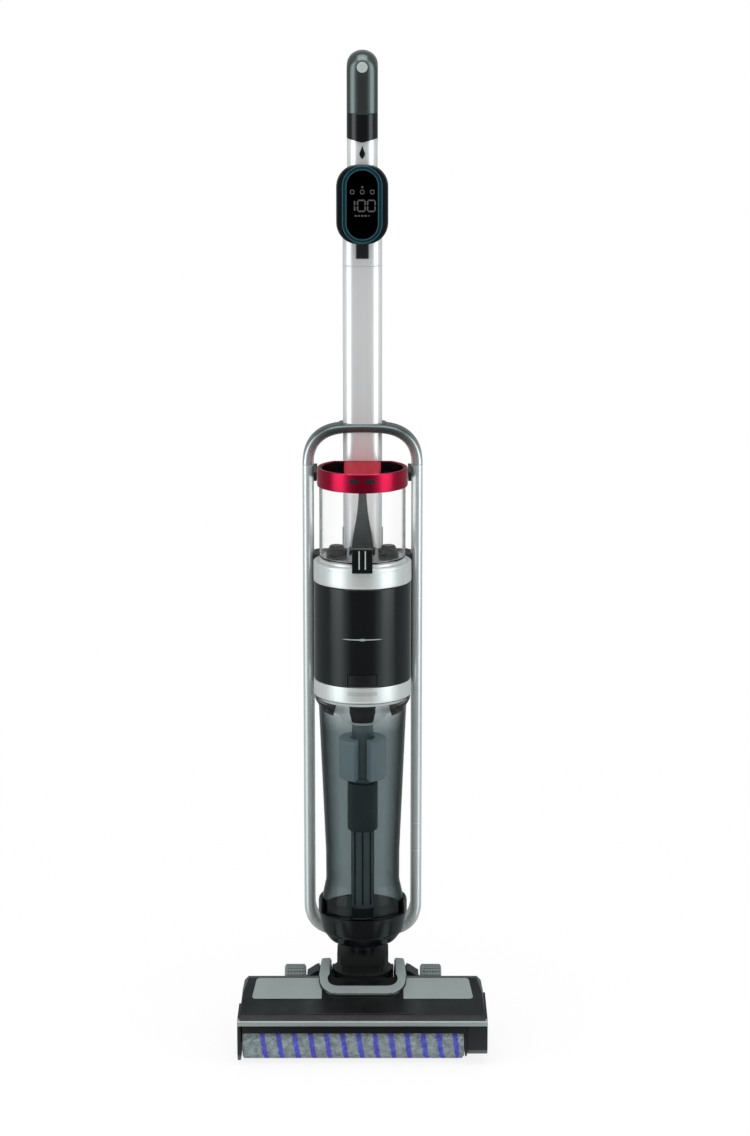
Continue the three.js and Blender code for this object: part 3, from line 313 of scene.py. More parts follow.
def flake_paint(name, colour, roughness, metallic, coat, flake=0.3):
    """Metallic lacquer: small flakes under a clear coat."""
    finish, tree, shader = new_finish(name)
    shader.inputs["Metallic"].default_value = metallic
    shader.inputs["Coat Weight"].default_value = coat
    shader.inputs["Coat Roughness"].default_value = 0.05
    cells = tree.nodes.new("ShaderNodeTexVoronoi")
    cells.inputs["Scale"].default_value = 2600.0
    link(tree, object_place(tree), cells.inputs["Vector"])
    parts = tree.nodes.new("ShaderNodeSeparateColor")
    link(tree, cells.outputs["Color"], parts.inputs["Color"])
    surface = group_node(tree, MOULDED_GRAIN, Grain_Size=900.0)
    veil = group_node(tree, SETTLED_DUST, Amount=0.08)
    base = mix_colour(tree, surface.outputs["Patches"], shade(colour, 0.88), shade(colour, 1.08))
    sparkling = mix_colour(
        tree, math_node(tree, "MULTIPLY", parts.outputs["Red"], flake), base, shade(colour, 1.7)
    )
    link(
        tree,
        mix_colour(tree, veil.outputs["Mask"], sparkling, DUST_ON_LACQUER),
        shader.inputs["Base Color"],
    )
    gloss = map_range(
        tree, surface.outputs["Patches"], 0.3, 0.7, roughness - 0.05, roughness + 0.05
    )
    link(tree, gloss, shader.inputs["Roughness"])
    link(tree, bump(tree, parts.outputs["Red"], 0.06, 0.00005), shader.inputs["Normal"])
    return finish


def tank_glass(name, colour, edge_colour, edge_from, edge_to, roughness, ior=1.3, clear_top=None):
    """Moulded clear polycarbonate, deeper in tone where seen edge on, with faint flow waves."""
    finish, tree, shader = new_finish(name)
    shader.inputs["Metallic"].default_value = 0.0
    shader.inputs["Transmission Weight"].default_value = 1.0
    shader.inputs["IOR"].default_value = ior
    surface = group_node(tree, MOULDED_GRAIN, Grain_Size=300.0)
    body = mix_colour(
        tree, surface.outputs["Patches"], shade(colour, 0.97), shade(colour, 1.03)
    )
    if clear_top:
        parts = object_parts(tree)
        share = map_range(tree, parts.outputs["Z"], 0.362, 0.382, 0.0, 1.0)
        body = mix_colour(tree, share, body, clear_top)
    facing = tree.nodes.new("ShaderNodeLayerWeight")
    facing.inputs["Blend"].default_value = 0.3
    depth = map_range(tree, facing.outputs["Facing"], edge_from, edge_to, 0.0, 1.0)
    link(tree, mix_colour(tree, depth, body, edge_colour), shader.inputs["Base Color"])
    drops = math_node(tree, "MULTIPLY", surface.outputs["Specks"], 0.05)
    gloss = map_range(tree, surface.outputs["Patches"], 0.3, 0.7, roughness, roughness + 0.03)
    link(tree, math_node(tree, "ADD", gloss, drops), shader.inputs["Roughness"])
    waves = noise(tree, object_place(tree, (1.0, 1.0, 0.25)), 60.0, 1.0, 0.4)
    link(tree, bump(tree, waves.outputs["Fac"], 0.03, 0.0003), shader.inputs["Normal"])
    return finish


def roller_cloth(name, centre_y, centre_z):
    """Grey microfibre with slanting violet stripes wound round the roller."""
    finish, tree, shader = new_finish(name)
    shader.inputs["Sheen Weight"].default_value = 0.35
    shader.inputs["Sheen Roughness"].default_value = 0.5
    shader.inputs["Specular IOR Level"].default_value = 0.15
    parts = object_parts(tree)
    back = math_node(tree, "SUBTRACT", parts.outputs["Y"], centre_y * MM)
    up = math_node(tree, "SUBTRACT", parts.outputs["Z"], centre_z * MM)
    angle = math_node(tree, "ARCTAN2", up, back)
    pitch = 17.9 * MM
    wobble = noise(tree, object_place(tree), 320.0, 2.0, 0.6)
    stray = map_range(tree, wobble.outputs["Fac"], 0.3, 0.7, -0.0009, 0.0009)
    along = math_node(
        tree,
        "ADD",
        math_node(tree, "ADD", parts.outputs["X"], 0.1282),
        math_node(tree, "MULTIPLY", angle, -pitch / math.tau),
    )
    turns = math_node(tree, "DIVIDE", math_node(tree, "ADD", along, stray), pitch)
    share = math_node(tree, "FRACT", turns)
    from_middle = math_node(tree, "ABSOLUTE", math_node(tree, "SUBTRACT", share, 0.5))
    stripe = map_range(tree, from_middle, 0.13, 0.19, 1.0, 0.0)
    past_left = map_range(tree, parts.outputs["X"], -0.1225, -0.1205, 0.0, 1.0)
    past_right = map_range(tree, parts.outputs["X"], 0.1075, 0.1095, 1.0, 0.0)
    stripe = math_node(
        tree, "MULTIPLY", stripe, math_node(tree, "MULTIPLY", past_left, past_right)
    )
    fibres = noise(tree, object_place(tree), 900.0, 3.0, 0.7)
    clumps = noise(tree, object_place(tree), 150.0, 4.0, 0.65)
    mottle = map_range(tree, clumps.outputs["Fac"], 0.3, 0.7, 0.0, 1.0)
    grey = mix_colour(tree, mottle, (0.19, 0.24, 0.24), (0.55, 0.64, 0.65))
    violet = mix_colour(tree, mottle, (0.075, 0.08, 0.48), (0.2, 0.21, 0.85))
    tone = mix_colour(tree, stripe, grey, violet)
    link(tree, tone, shader.inputs["Base Color"])
    link(
        tree,
        map_range(tree, fibres.outputs["Fac"], 0.3, 0.7, 0.85, 1.0),
        shader.inputs["Roughness"],
    )
    link(tree, bump(tree, fibres.outputs["Fac"], 0.5, 0.0006), shader.inputs["Normal"])
    return finish


def lit_mark(name, colour, strength):
    """A lit sign behind the display glass, a little uneven."""
    finish, tree, shader = new_finish(name)
    shader.inputs["Emission Strength"].default_value = strength
    shader.inputs["Roughness"].default_value = 0.4
    glow = noise(tree, object_place(tree), 300.0, 2.0, 0.5)
    tone = mix_colour(tree, glow.outputs["Fac"], shade(colour, 0.8), shade(colour, 1.15))
    link(tree, tone, shader.inputs["Emission Color"])
    shader.inputs["Base Color"].default_value = (0.01, 0.01, 0.01, 1.0)
    return finish


GLOSS_BLACK = plastic("gloss_black", (0.004, 0.005, 0.0055), 0.17, 700.0, 0.02, 0.0, 0.03, 0.04)
SATIN_BLACK = plastic("satin_black", (0.009, 0.0105, 0.011), 0.42, 1700.0, 0.2, 0.0, 0.05, 0.06)
DEEP_BLACK = plastic("deep_black", (0.003, 0.003, 0.0035), 0.5, 1700.0, 0.2, 0.0, 0.02, 0.05)
HANDLE_GREY = flake_paint("handle_grey", (0.1, 0.125, 0.12), 0.24, 0.8, 0.3, 0.15)
RAIL_SILVER = metal("rail_silver", (0.74, 0.79, 0.78), 0.26, 0.03, 0.03, metallic=0.55)
GUNMETAL = metal(
    "gunmetal_frame", (0.12, 0.145, 0.142), 0.25, 0.04, 0.04, metallic=0.75, low_colour=(
        0.74, 0.79, 0.78
    )
)
RING_SILVER = metal("ring_silver", (0.8, 0.835, 0.825), 0.34, 0.04, 0.04, metallic=0.6)
# A darker copy of the ring silver: painted shade for the slot pressed into the lower ring.
RING_SLOT_PAINTED_SHADE = metal("ring_slot_painted_shade", (0.64, 0.68, 0.675), 0.34, 0.02, 0.03, metallic=0.6)
INLAY_SILVER = metal("inlay_silver", (0.42, 0.47, 0.465), 0.4, 0.02, 0.03, metallic=0.4)
POLE_ALUMINIUM = metal("pole_aluminium", (0.93, 0.945, 0.95), 0.34, 0.03, 0.03, metallic=0.55)
HEAD_GREY = flake_paint("head_grey", (0.34, 0.395, 0.385), 0.36, 0.4, 0.15, 0.12)
LID_RED = flake_paint("lid_red", (0.5, 0.008, 0.05), 0.27, 0.9, 0.0, 0.12)
BRIDGE_RED = plastic(
    "bridge_red", (0.36, 0.001, 0.018), 0.55, 900.0, 0.05, 0.0, 0.0, 0.05, specular=0.12
)
CLEAR_TANK = tank_glass(
    "clear_tank", (0.998, 1.0, 1.0), (0.08, 0.095, 0.095), 0.44, 0.6, 0.0, 1.15
)
SMOKED_TANK = tank_glass(
    "smoked_tank", (0.35, 0.4, 0.405), (0.012, 0.015, 0.016), 0.14, 0.46, 0.03, 1.2, (
        0.8, 0.83, 0.83
    )
)
LIGHT_PLASTIC = plastic("light_plastic", (0.5, 0.54, 0.53), 0.4, 1500.0, 0.12, 0.0, 0.05)
FUNNEL_WHITE = plastic("funnel_white", (0.84, 0.88, 0.87), 0.4, 1500.0, 0.12, 0.0, 0.05)
RISER_SMOKE = plastic("riser_smoke", (0.24, 0.28, 0.29), 0.3, 1500.0, 0.08, 0.0, 0.0)
# Dark grey for a painted reflection: the flared dark reflection that the polished pole shows below
# the tank.
PAINTED_REFLECTION_GREY = plastic("painted_reflection_grey", (0.1, 0.118, 0.118), 0.4, 1500.0, 0.06, 0.0, 0.0)
GUIDE_SMOKE = plastic("guide_smoke", (0.07, 0.085, 0.09), 0.35, 1500.0, 0.05, 0.0, 0.0)
FLOAT_BLUE = plastic("float_blue_grey", (0.78, 0.84, 0.95), 0.4, 1500.0, 0.12, 0.0, 0.05)
SEAL_RUBBER = plastic("seal_rubber", (0.012, 0.0125, 0.013), 0.78, 900.0, 0.4, 0.0, 0.08, 0.06)
TYRE_GREY = plastic("tyre_grey", (0.2, 0.24, 0.235), 0.66, 700.0, 0.5, 0.0, 0.15, 0.08)
TEAL_RING = plastic("teal_ring", (0.003, 0.018, 0.025), 0.25, 900.0, 0.04, 0.0, 0.0, 0.03)
# A brighter teal for the display ring's two thin rims: painted highlight of light along their
# rounded edges.
TEAL_RIM_PAINTED_HIGHLIGHT = plastic("teal_rim_painted_highlight", (0.012, 0.1, 0.135), 0.25, 900.0, 0.03, 0.0, 0.0, 0.03)
DISPLAY_GLASS = plastic(
    "display_glass_black", (0.0015, 0.0015, 0.0018), 0.09, 500.0, 0.01, 0.0, 0.0, 0.02
)
DISPLAY_MARKS = lit_mark("display_marks", (0.34, 0.36, 0.37), 0.2)
BUTTON_GREY = plastic("button_grey", (0.4, 0.46, 0.44), 0.28, 900.0, 0.05, 0.3, 0.0, 0.04)
STEEL = metal("turned_steel", (0.55, 0.56, 0.57), 0.3)
CONTACT_BRASS = metal("contact_brass", (0.62, 0.45, 0.18), 0.32)
BOARD_GREEN = plastic("board_green", (0.02, 0.14, 0.06), 0.45, 1200.0, 0.2)
BATTERY_WRAP = plastic("battery_wrap", (0.03, 0.1, 0.3), 0.35, 1300.0, 0.1)
FILTER_PAPER = plastic("filter_paper", (0.7, 0.7, 0.66), 0.9, 500.0, 0.6)
ROLLER_CLOTH = roller_cloth("roller_cloth", -92.0, 24.0)


# ---- Making pieces ----

PLANES = {
    "plan": Matrix(((1, 0, 0), (0, 1, 0), (0, 0, 1))).to_4x4(),
    "front": Matrix(((1, 0, 0), (0, 0, 1), (0, 1, 0))).to_4x4(),
    "side": Matrix(((0, 0, 1), (1, 0, 0), (0, 1, 0))).to_4x4(),
}


def everything(bm):
    return bm.verts[:] + bm.edges[:] + bm.faces[:]


def pulled_verts(bm, faces):
    """Extrudes the faces in place and gives the new corners, ready to be moved."""
    pulled = bmesh.ops.extrude_face_region(bm, geom=faces)["geom"]
    return [item for item in pulled if isinstance(item, bmesh.types.BMVert)]


def moved_by(shape, step):
    bmesh.ops.translate(shape, verts=shape.verts, vec=step)
    return shape


def rotated(shape, angle, axis):
    """Turns a shape about the named axis through the origin."""
    turn = Matrix.Rotation(angle, 3, axis)
    bmesh.ops.rotate(shape, verts=shape.verts, cent=(0, 0, 0), matrix=turn)
    return shape


def place_on(across, up, out, centre):
    """A placing matrix whose X, Y and Z run along the three directions."""
    place = Matrix((across, up, out)).transposed().to_4x4()
    place.translation = centre
    return place


def scaled(outline, share):
    return [(a * share, b * share) for a, b in outline]


def bevel_corners(bm, verts, radius, steps=8):
    bmesh.ops.bevel(
        bm, geom=verts, offset=radius, segments=steps, profile=0.5, affect="VERTICES", material=-1
    )


def bevel_edges(bm, edges, radius, steps=3):
    bmesh.ops.bevel(
        bm,
        geom=edges,
        offset=radius,
        segments=steps,
        profile=0.5,
        affect="EDGES",
        clamp_overlap=True,
        material=-1,
    )


def rounded(points, radii, steps=8):
    """The outline of a flat shape with its corners rounded, one radius a corner or one for all."""
    if not isinstance(radii, (list, tuple)):
        radii = [radii] * len(points)
    bm = bmesh.new()
    verts = [bm.verts.new((a, b, 0)) for a, b in points]
    bm.faces.new(verts)
    for radius in sorted(set(radii)):
        if radius > 0:
            at = [v for v, r in zip(verts, radii) if r == radius and v.is_valid]
            bevel_corners(bm, at, radius, steps)
    face = max(bm.faces, key=lambda f: len(f.verts))
    outline = [(v.co.x, v.co.y) for v in face.verts]
    bm.free()
    return outline


def rectangle(a0, a1, b0, b1, radius=0.0, steps=8):
    points = [(a0, b0), (a1, b0), (a1, b1), (a0, b1)]
    return rounded(points, radius, steps) if radius else points


def slab(outline, low, high, plane="plan", edge=0.0, edge_steps=3):
    """A flat outline pulled from low to high, with both rims rounded over."""
    bm = bmesh.new()
    face = bm.faces.new([bm.verts.new((a, b, low)) for a, b in outline])
    bmesh.ops.translate(bm, verts=pulled_verts(bm, [face]), vec=(0, 0, high - low))
    bmesh.ops.recalc_face_normals(bm, faces=bm.faces)
    if edge:
        rims = [e for e in bm.edges if e.verts[0].co.z == e.verts[1].co.z]
        bevel_edges(bm, rims, edge, edge_steps)
    bmesh.ops.transform(bm, matrix=PLANES[plane], verts=bm.verts)
    bmesh.ops.recalc_face_normals(bm, faces=bm.faces)
    return bm


def hoop(outer, inner, low, high, plane="plan", edge=0.0, edge_steps=2):
    """A flat band between two outlines with the same number of points, pulled from low to high."""
    bm = bmesh.new()
    loops = []
    for outline in (outer, inner):
        verts = [bm.verts.new((a, b, low)) for a, b in outline]
        loops.append([bm.edges.new(pair) for pair in zip(verts, verts[1:] + verts[:1])])
    bmesh.ops.bridge_loops(bm, edges=loops[0] + loops[1])
    bmesh.ops.translate(bm, verts=pulled_verts(bm, bm.faces[:]), vec=(0, 0, high - low))
    bmesh.ops.recalc_face_normals(bm, faces=bm.faces)
    if edge:
        rims = [e for e in bm.edges if len(e.link_faces) == 2 and e.calc_face_angle(0) > 1.2]
        bevel_edges(bm, rims, edge, edge_steps)
    bmesh.ops.transform(bm, matrix=PLANES[plane], verts=bm.verts)
    bmesh.ops.recalc_face_normals(bm, faces=bm.faces)
    return bm


AXES = {
    "up": Matrix.Identity(4),
    "across": Matrix.Rotation(math.radians(90), 4, "Y"),
    "back": Matrix.Rotation(math.radians(-90), 4, "X"),
}


def turned(profile, axis="up", at=(0, 0, 0), steps=WHOLE_TURN, sweep=360.0, start=0.0):
    """A profile of (radius, level) pairs turned round an axis through the point at."""
    bm = bmesh.new()
    verts = [bm.verts.new((r, 0, level)) for r, level in profile]
    edges = [bm.edges.new(pair) for pair in zip(verts, verts[1:])]
    if profile[0][0] > 0 or profile[-1][0] > 0:
        edges.append(bm.edges.new((verts[-1], verts[0])))
    bmesh.ops.rotate(
        bm, verts=verts, cent=(0, 0, 0), matrix=Matrix.Rotation(math.radians(start), 3, "Z")
    )
    bmesh.ops.spin(
        bm,
        geom=verts + edges,
        cent=(0, 0, 0),
        axis=(0, 0, 1),
        angle=math.radians(sweep),
        steps=steps,
        use_merge=sweep == 360.0,
    )
    bmesh.ops.remove_doubles(bm, verts=bm.verts, dist=0.001)
    open_edges = [e for e in bm.edges if e.is_boundary]
    if open_edges:
        bmesh.ops.holes_fill(bm, edges=open_edges, sides=0)
    bmesh.ops.transform(bm, matrix=AXES[axis], verts=bm.verts)
    bmesh.ops.translate(bm, verts=bm.verts, vec=at)
    bmesh.ops.recalc_face_normals(bm, faces=bm.faces)
    return bm


def lofted(outlines_and_places):
    """Cross-sections with the same number of points, each put in its place, bridged and capped."""
    bm = bmesh.new()
    rings = []
    for outline, place in outlines_and_places:
        verts = [bm.verts.new(place @ Vector((a, b, 0))) for a, b in outline]
        rings.append([bm.edges.new(pair) for pair in zip(verts, verts[1:] + verts[:1])])
    for before, after in zip(rings, rings[1:]):
        bmesh.ops.bridge_loops(bm, edges=before + after)
    bmesh.ops.holes_fill(bm, edges=rings[0], sides=0)
    bmesh.ops.holes_fill(bm, edges=rings[-1], sides=0)
    bmesh.ops.recalc_face_normals(bm, faces=bm.faces)
    return bm


def stacked(rows):
    """Level outlines joined into one skin, each row an outline and its level."""
    return lofted([(outline, Matrix.Translation((0, 0, level))) for outline, level in rows])


def joined(*shapes):
    """Several shapes in one mesh."""
    whole = bmesh.new()
    for shape in shapes:
        mesh = bpy.data.meshes.new("shape")
        shape.to_mesh(mesh)
        shape.free()
        whole.from_mesh(mesh)
        bpy.data.meshes.remove(mesh)
    return whole


def cut_below(bm, point, direction):
    """Cuts away what lies on the far side of a plane and closes the cut."""
    cut = bmesh.ops.bisect_plane(
        bm,
        geom=everything(bm),
        plane_co=point,
        plane_no=direction,
        clear_inner=True,
    )
    edges = [e for e in cut["geom_cut"] if isinstance(e, bmesh.types.BMEdge)]
    bmesh.ops.holes_fill(bm, edges=edges, sides=0)
    bmesh.ops.recalc_face_normals(bm, faces=bm.faces)
    return bm


def wrap_front(bm, radius, skin):
    """Cuts a flat plate at Y = 0 fine and curves it round the front of a cylinder."""
    across = [vert.co.x for vert in bm.verts]
    start = math.floor(min(across))
    for step in range(1, math.ceil(max(across)) - start):
        bmesh.ops.bisect_plane(
            bm, geom=everything(bm), plane_co=(start + step, 0, 0), plane_no=(1, 0, 0)
        )
    for vert in bm.verts:
        reach = radius + skin - vert.co.y
        angle = vert.co.x / radius
        vert.co.x = reach * math.sin(angle)
        vert.co.y = -reach * math.cos(angle)
    return bm


def piece(name, bm, finish, body, stands_for=(), smooth=35.0, extra=()):
    """Puts a shape in the scene, in metres, on its body."""
    bmesh.ops.scale(bm, vec=(MM, MM, MM), verts=bm.verts)
    mesh = bpy.data.meshes.new(name)
    bm.to_mesh(mesh)
    bm.free()
    made = bpy.data.objects.new(name, mesh)
    bpy.context.scene.collection.objects.link(made)
    for surface in (finish, *extra):
        mesh.materials.append(surface)
    mesh.shade_smooth()
    mesh.set_sharp_from_angle(angle=math.radians(smooth))
    shading = made.modifiers.new("even_shading", "WEIGHTED_NORMAL")
    shading.keep_sharp = True
    shading.weight = 90
    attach(made, body)
    if stands_for:
        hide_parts(*stands_for)
    return made


def refined_mesh(node, edge, angle=28.0, steps=2, flat=1.5):
    """A copy of a CAD node with its triangles merged into faces and its sharp edges eased."""
    bm = bmesh.new()
    bm.from_mesh(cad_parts[node].data)
    bmesh.ops.scale(bm, vec=(1 / MM,) * 3, verts=bm.verts)
    bmesh.ops.remove_doubles(bm, verts=bm.verts, dist=0.02)
    bmesh.ops.dissolve_limit(
        bm, angle_limit=math.radians(flat), verts=bm.verts, edges=bm.edges, delimit=set()
    )
    sharp = [
        e for e in bm.edges if len(e.link_faces) == 2 and e.calc_face_angle(0) > math.radians(
            angle
        )
    ]
    bevel_edges(bm, sharp, edge, steps)
    return bm


def refinish(node, finish):
    """Gives a CAD node that keeps its shape its real finish."""
    for material_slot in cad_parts[node].material_slots:
        material_slot.material = finish


# ---- Handle ----

GRIP_HALF = 17.2
# The collar's lower rim runs down to a point in the middle, 4.5 below its sides.
COLLAR_SLOPE = 4.5 / GRIP_HALF
COLLAR_POINT = 1011.1


def handle_sections():
    """Sections of the closed grip, from the collar up, over the top, down the back and under."""
    stations = []
    for z in (1043.1, 1050, 1060, 1070, 1080, 1088, 1093):
        stations.append(((38.0, z), (64.0, min(z, 1078.0)), 0.5))
    for n in range(1, 13):
        turn = math.radians(90 * n / 12)
        outer = (53.0 - 15.0 * math.cos(turn), 1095.0 + 15.0 * math.sin(turn))
        inner = (74.0 - 10.0 * math.cos(turn), 1078.0 + 10.0 * math.sin(turn))
        stations.append((outer, inner, 0.5 - 0.28 * n / 12))
    stations.append(((70.0, 1110.0), (81.0, 1088.0), 0.22))
    for n in range(0, 13):
        turn = math.radians(90 * n / 12)
        outer = (86.0 + 34.0 * math.sin(turn), 1076.0 + 34.0 * math.cos(turn))
        inner = (88.0 + 10.0 * math.sin(turn), 1078.0 + 10.0 * math.cos(turn))
        stations.append((outer, inner, 0.22 + 0.28 * n / 12))
    for z in (1064, 1052, 1044):
        stations.append(((120.0, z), (98.0, z), 0.5))
    for n in range(0, 13):
        turn = math.radians(90 * n / 12)
        outer = (90.0 + 30.0 * math.cos(turn), 1032.0 - 30.0 * math.sin(turn))
        inner = (88.0 + 10.0 * math.cos(turn), 1034.0 - 10.0 * math.sin(turn))
        stations.append((outer, inner, 0.5))
    for y in (80.0, 70.9):
        stations.append(((y, 1002.0), (y, 1024.0), 0.5))
    return stations


def handle_grip():
    sections = []
    for (oy, oz), (iy, iz), share in handle_sections():
        outer = Vector((0, oy, oz))
        inner = Vector((0, iy, iz))
        span = (outer - inner).length
        outward = (outer - inner).normalized()
        centre = inner + outward * span * share
        out_reach = span * (1 - share)
        in_reach = span * share
        ring = bmesh.new()
        bmesh.ops.create_circle(ring, segments=48, radius=1.0)
        outline = []
        for vert in ring.verts:
            reach = out_reach if vert.co.y > 0 else in_reach
            side = vert.co.x
            rise = math.copysign(abs(vert.co.y) ** 0.92, vert.co.y)
            outline.append((side * GRIP_HALF, rise * reach))
        ring.free()
        across = Vector((1, 0, 0))
        normal = across.cross(outward)
        sections.append((outline, place_on(across, outward, normal, centre)))
    return lofted(sections)


piece("handle_grip", handle_grip(), HANDLE_GREY, "handle", ["handle_loop"], 45)


def grip_strip():
    """A rubber strip down the front of the grip, with low cross ribs."""
    low, high = corners("grip_insert")
    strip = slab(
        rectangle(-4.6, 4.6, low.z, high.z, 3.4, 10), 37.5, high.y, "front", 0.5, 3
    )
    ribs = []
    for n in range(9):
        z = low.z + 5.5 + n * 3.5
        ribs.append(slab(rectangle(-2.6, 2.6, z, z + 1.3, 0.6, 4), 37.1, 38.0, "front", 0.3, 2))
    return joined(strip, *ribs)


piece("grip_strip", grip_strip(), SEAL_RUBBER, "handle", ["grip_insert"])

power_low, power_high = corners("power_button")
power_z = (power_low.z + power_high.z) / 2
piece(
    "power_key_cap",
    turned(
        [
            (0, 0.5), (2.2, 0.35), (2.6, 0.7), (3.0, 0.35), (4.9, 0.0), (5.7, 0.3), (6, 0.9),
            (6, 5.4), (0, 5.4)
        ],
        "back",
        (0, power_low.y, power_z),
        48,
    ),
    BUTTON_GREY,
    "power_key",
    ["power_button"],
)


def collar():
    low, high = corners("handle_collar")
    plan = rectangle(low.x, high.x, low.y, high.y, 15.5, 16)
    shape = slab(plan, low.z - 1, high.z, "plan", 0.7, 3)
    for side in (-1, 1):
        cut_below(shape, (0, 0, low.z), (-side * COLLAR_SLOPE, 0, 1))
    return shape


piece("collar", collar(), GLOSS_BLACK, "handle", ["handle_collar"], 30)


POLE_FRONT = 41.0
POLE_BACK = 69.0


def pole_outline(half, low_y=POLE_FRONT, high_y=POLE_BACK, radius=13.6):
    return rectangle(-half, half, low_y, high_y, min(radius, half - 0.2), 14)


def sink_pocket(bm, x0, x1, z0, z1, depth):
    """Sinks a straight pocket into the front wall between the given edges."""
    for place, normal in (
        ((x0, 0, 0), (1, 0, 0)), ((x1, 0, 0), (1, 0, 0)), ((0, 0, z0), (0, 0, 1)), (
            (0, 0, z1), (0, 0, 1)
        )
    ):
        bmesh.ops.bisect_plane(bm, geom=everything(bm), plane_co=place, plane_no=normal)
    mouth = []
    for face in bm.faces:
        middle = face.calc_center_median()
        if x0 < middle.x < x1 and z0 < middle.z < z1 and middle.y < 45.0:
            mouth.append(face)
    bmesh.ops.translate(bm, verts=pulled_verts(bm, mouth), vec=(0, depth, 0))
    bmesh.ops.delete(bm, geom=mouth, context="FACES")
    bmesh.ops.recalc_face_normals(bm, faces=bm.faces)


def upper_tube():
    """The tube between pole and collar, narrowing behind the display, with its stub below."""
    sections = []
    for z in (
        875.1, 876.0, 900.0, 930.0, 937.0, 945.0, 953.0, 961.0, 968.0, 975.0, 1000.0, 1017.0
    ):
        share = min(1.0, max(0.0, (z - 930.0) / 45.0))
        half = 22.0 - 5.1 * (share * share * (3 - 2 * share))
        inset = 0.5 if z == 875.1 else 0.0
        sections.append((pole_outline(half - inset, POLE_FRONT + inset, POLE_BACK - inset), z))
    tube = stacked(sections)
    for side in (-1, 1):
        bmesh.ops.bisect_plane(
            tube,
            geom=everything(tube),
            plane_co=(0, 0, COLLAR_POINT),
            plane_no=(-side * COLLAR_SLOPE, 0, 1),
        )
    above = []
    for face in tube.faces:
        middle = face.calc_center_median()
        if middle.z > COLLAR_POINT + 0.2 + abs(middle.x) * 0.26:
            above.append(face)
    bmesh.ops.delete(tube, geom=above, context="FACES")
    tab_low, tab_high = corners("pole_release_tab")
    sink_pocket(
        tube, tab_low.x - 0.25, tab_high.x + 0.25, tab_low.z - 0.25, tab_high.z + 0.25,
        tab_high.y - POLE_FRONT + 1.7,
    )
    stub = slab(pole_outline(19.2, 43.8, 66.2, 10.9), 794.8, 876.0, "plan", 0.8)
    return joined(tube, stub)


piece(
    "upper_tube_skin",
    upper_tube(),
    POLE_ALUMINIUM,
    "handle",
    ["upper_tube"],
    30,
)

mode_low, mode_high = corners("mode_button")
mode_z = (mode_low.z + mode_high.z) / 2
piece(
    "mode_key_cap",
    slab(
        rounded(
            [(0, mode_low.z), (3.7, mode_z - 2.2), (1.3, mode_z + 3.6), (0, mode_high.z),
             (-1.3, mode_z + 3.6), (-3.7, mode_z - 2.2)],
            [1.2, 2.4, 1.4, 0.5, 1.4, 2.4],
            6,
        ),
        mode_low.y,
        mode_high.y,
        "front",
        0.4,
    ),
    GLOSS_BLACK,
    "mode_key",
    ["mode_button"],
)


def release_tab():
    low, high = corners("pole_release_tab")
    tab = slab(rectangle(low.x, high.x, low.z, high.z, 1.6, 5), low.y + 0.7, high.y, "front", 0.9)
    ridges = [
        slab(rectangle(-4.6, 4.6, z, z + 1.4, 0.6, 3), low.y, low.y + 1.2, "front", 0.35, 2)
        for z in (low.z + 3.0, low.z + 6.2, low.z + 9.4)
    ]
    return joined(tab, *ridges)


piece(
    "release_tab",
    release_tab(),
    SATIN_BLACK,
    "handle_release",
    ["pole_release_tab"],
)


# ---- Display pod ----

pod_low, pod_high = corners("display_housing")
ring_low, ring_high = corners("display_ring")
glass_low, glass_high = corners("display_glass")
POD_MIDDLE = (pod_low.z + pod_high.z) / 2
POD_HALF = 28.6
POD_TALL = 43.45


def stadium(half, tall, steps=16):
    return rectangle(-half, half, POD_MIDDLE - tall, POD_MIDDLE + tall, half - 0.15, steps)


def pod_shell():
    """A pebble-shaped pod: full width at the front, drawn in behind, where it grips the tube."""
    front = rectangle(-POD_HALF, POD_HALF, pod_low.z, pod_high.z, 24.0, 16)
    stations = []
    for y, shrink in ((pod_low.y, 1.6), (pod_low.y + 0.5, 0.7), (pod_low.y + 1.6, 0.0), (30.0, 0.0),
                      (38.0, 0.6), (44.0, 1.8), (52.0, 3.2), (57.0, 4.6), (59.2, 6.2), (60.0, 8.5)):
        wide = (POD_HALF - shrink) / POD_HALF
        tall = (POD_TALL - shrink) / POD_TALL
        outline = [(a * wide, POD_MIDDLE + (b - POD_MIDDLE) * tall) for a, b in front]
        stations.append((outline, Matrix.Translation((0, y, 0)) @ PLANES["front"]))
    return lofted(stations)


piece(
    "pod_shell", pod_shell(), GLOSS_BLACK, "handle", ["display_housing"], 40
)
piece(
    "ring_band",
    hoop(stadium(22.3, 42.6), stadium(17.4, 38.0), ring_low.y + 0.25, ring_high.y, "front", 0.35),
    TEAL_RING,
    "handle",
    ["display_ring"],
)
# Two thin raised rims on the display ring; the rims are real, and their brighter teal is a painted
# highlight along their edges.
for label, half, tall in (("outer", 22.2, 42.5), ("inner", 18.3, 38.9)):
    piece(
        f"ring_rim_painted_highlight_{label}",
        hoop(
            stadium(half, tall),
            stadium(half - 0.9, tall - 0.9),
            ring_low.y,
            ring_low.y + 1.2,
            "front",
            0.25,
        ),
        TEAL_RIM_PAINTED_HIGHLIGHT,
        "handle",
        (),
    )
piece(
    "display_window",
    slab(stadium(17.2, 37.8), glass_low.y, glass_high.y, "front", 0.5, 3),
    DISPLAY_GLASS,
    "handle",
    ["display_glass"],
)

SEGMENTS = {
    "a": (0, 1, True),
    "b": (0.5, 0.5, False),
    "c": (0.5, -0.5, False),
    "d": (0, -1, True),
    "e": (-0.5, -0.5, False),
    "f": (-0.5, 0.5, False),
    "g": (0, 0, True),
}
LIT = {"1": "bc", "0": "abcdef"}


def bar(x0, x1, z0, z1, y, radius):
    return slab(rectangle(x0, x1, z0, z1, radius, 3), y - 0.12, y + 0.3, "front")


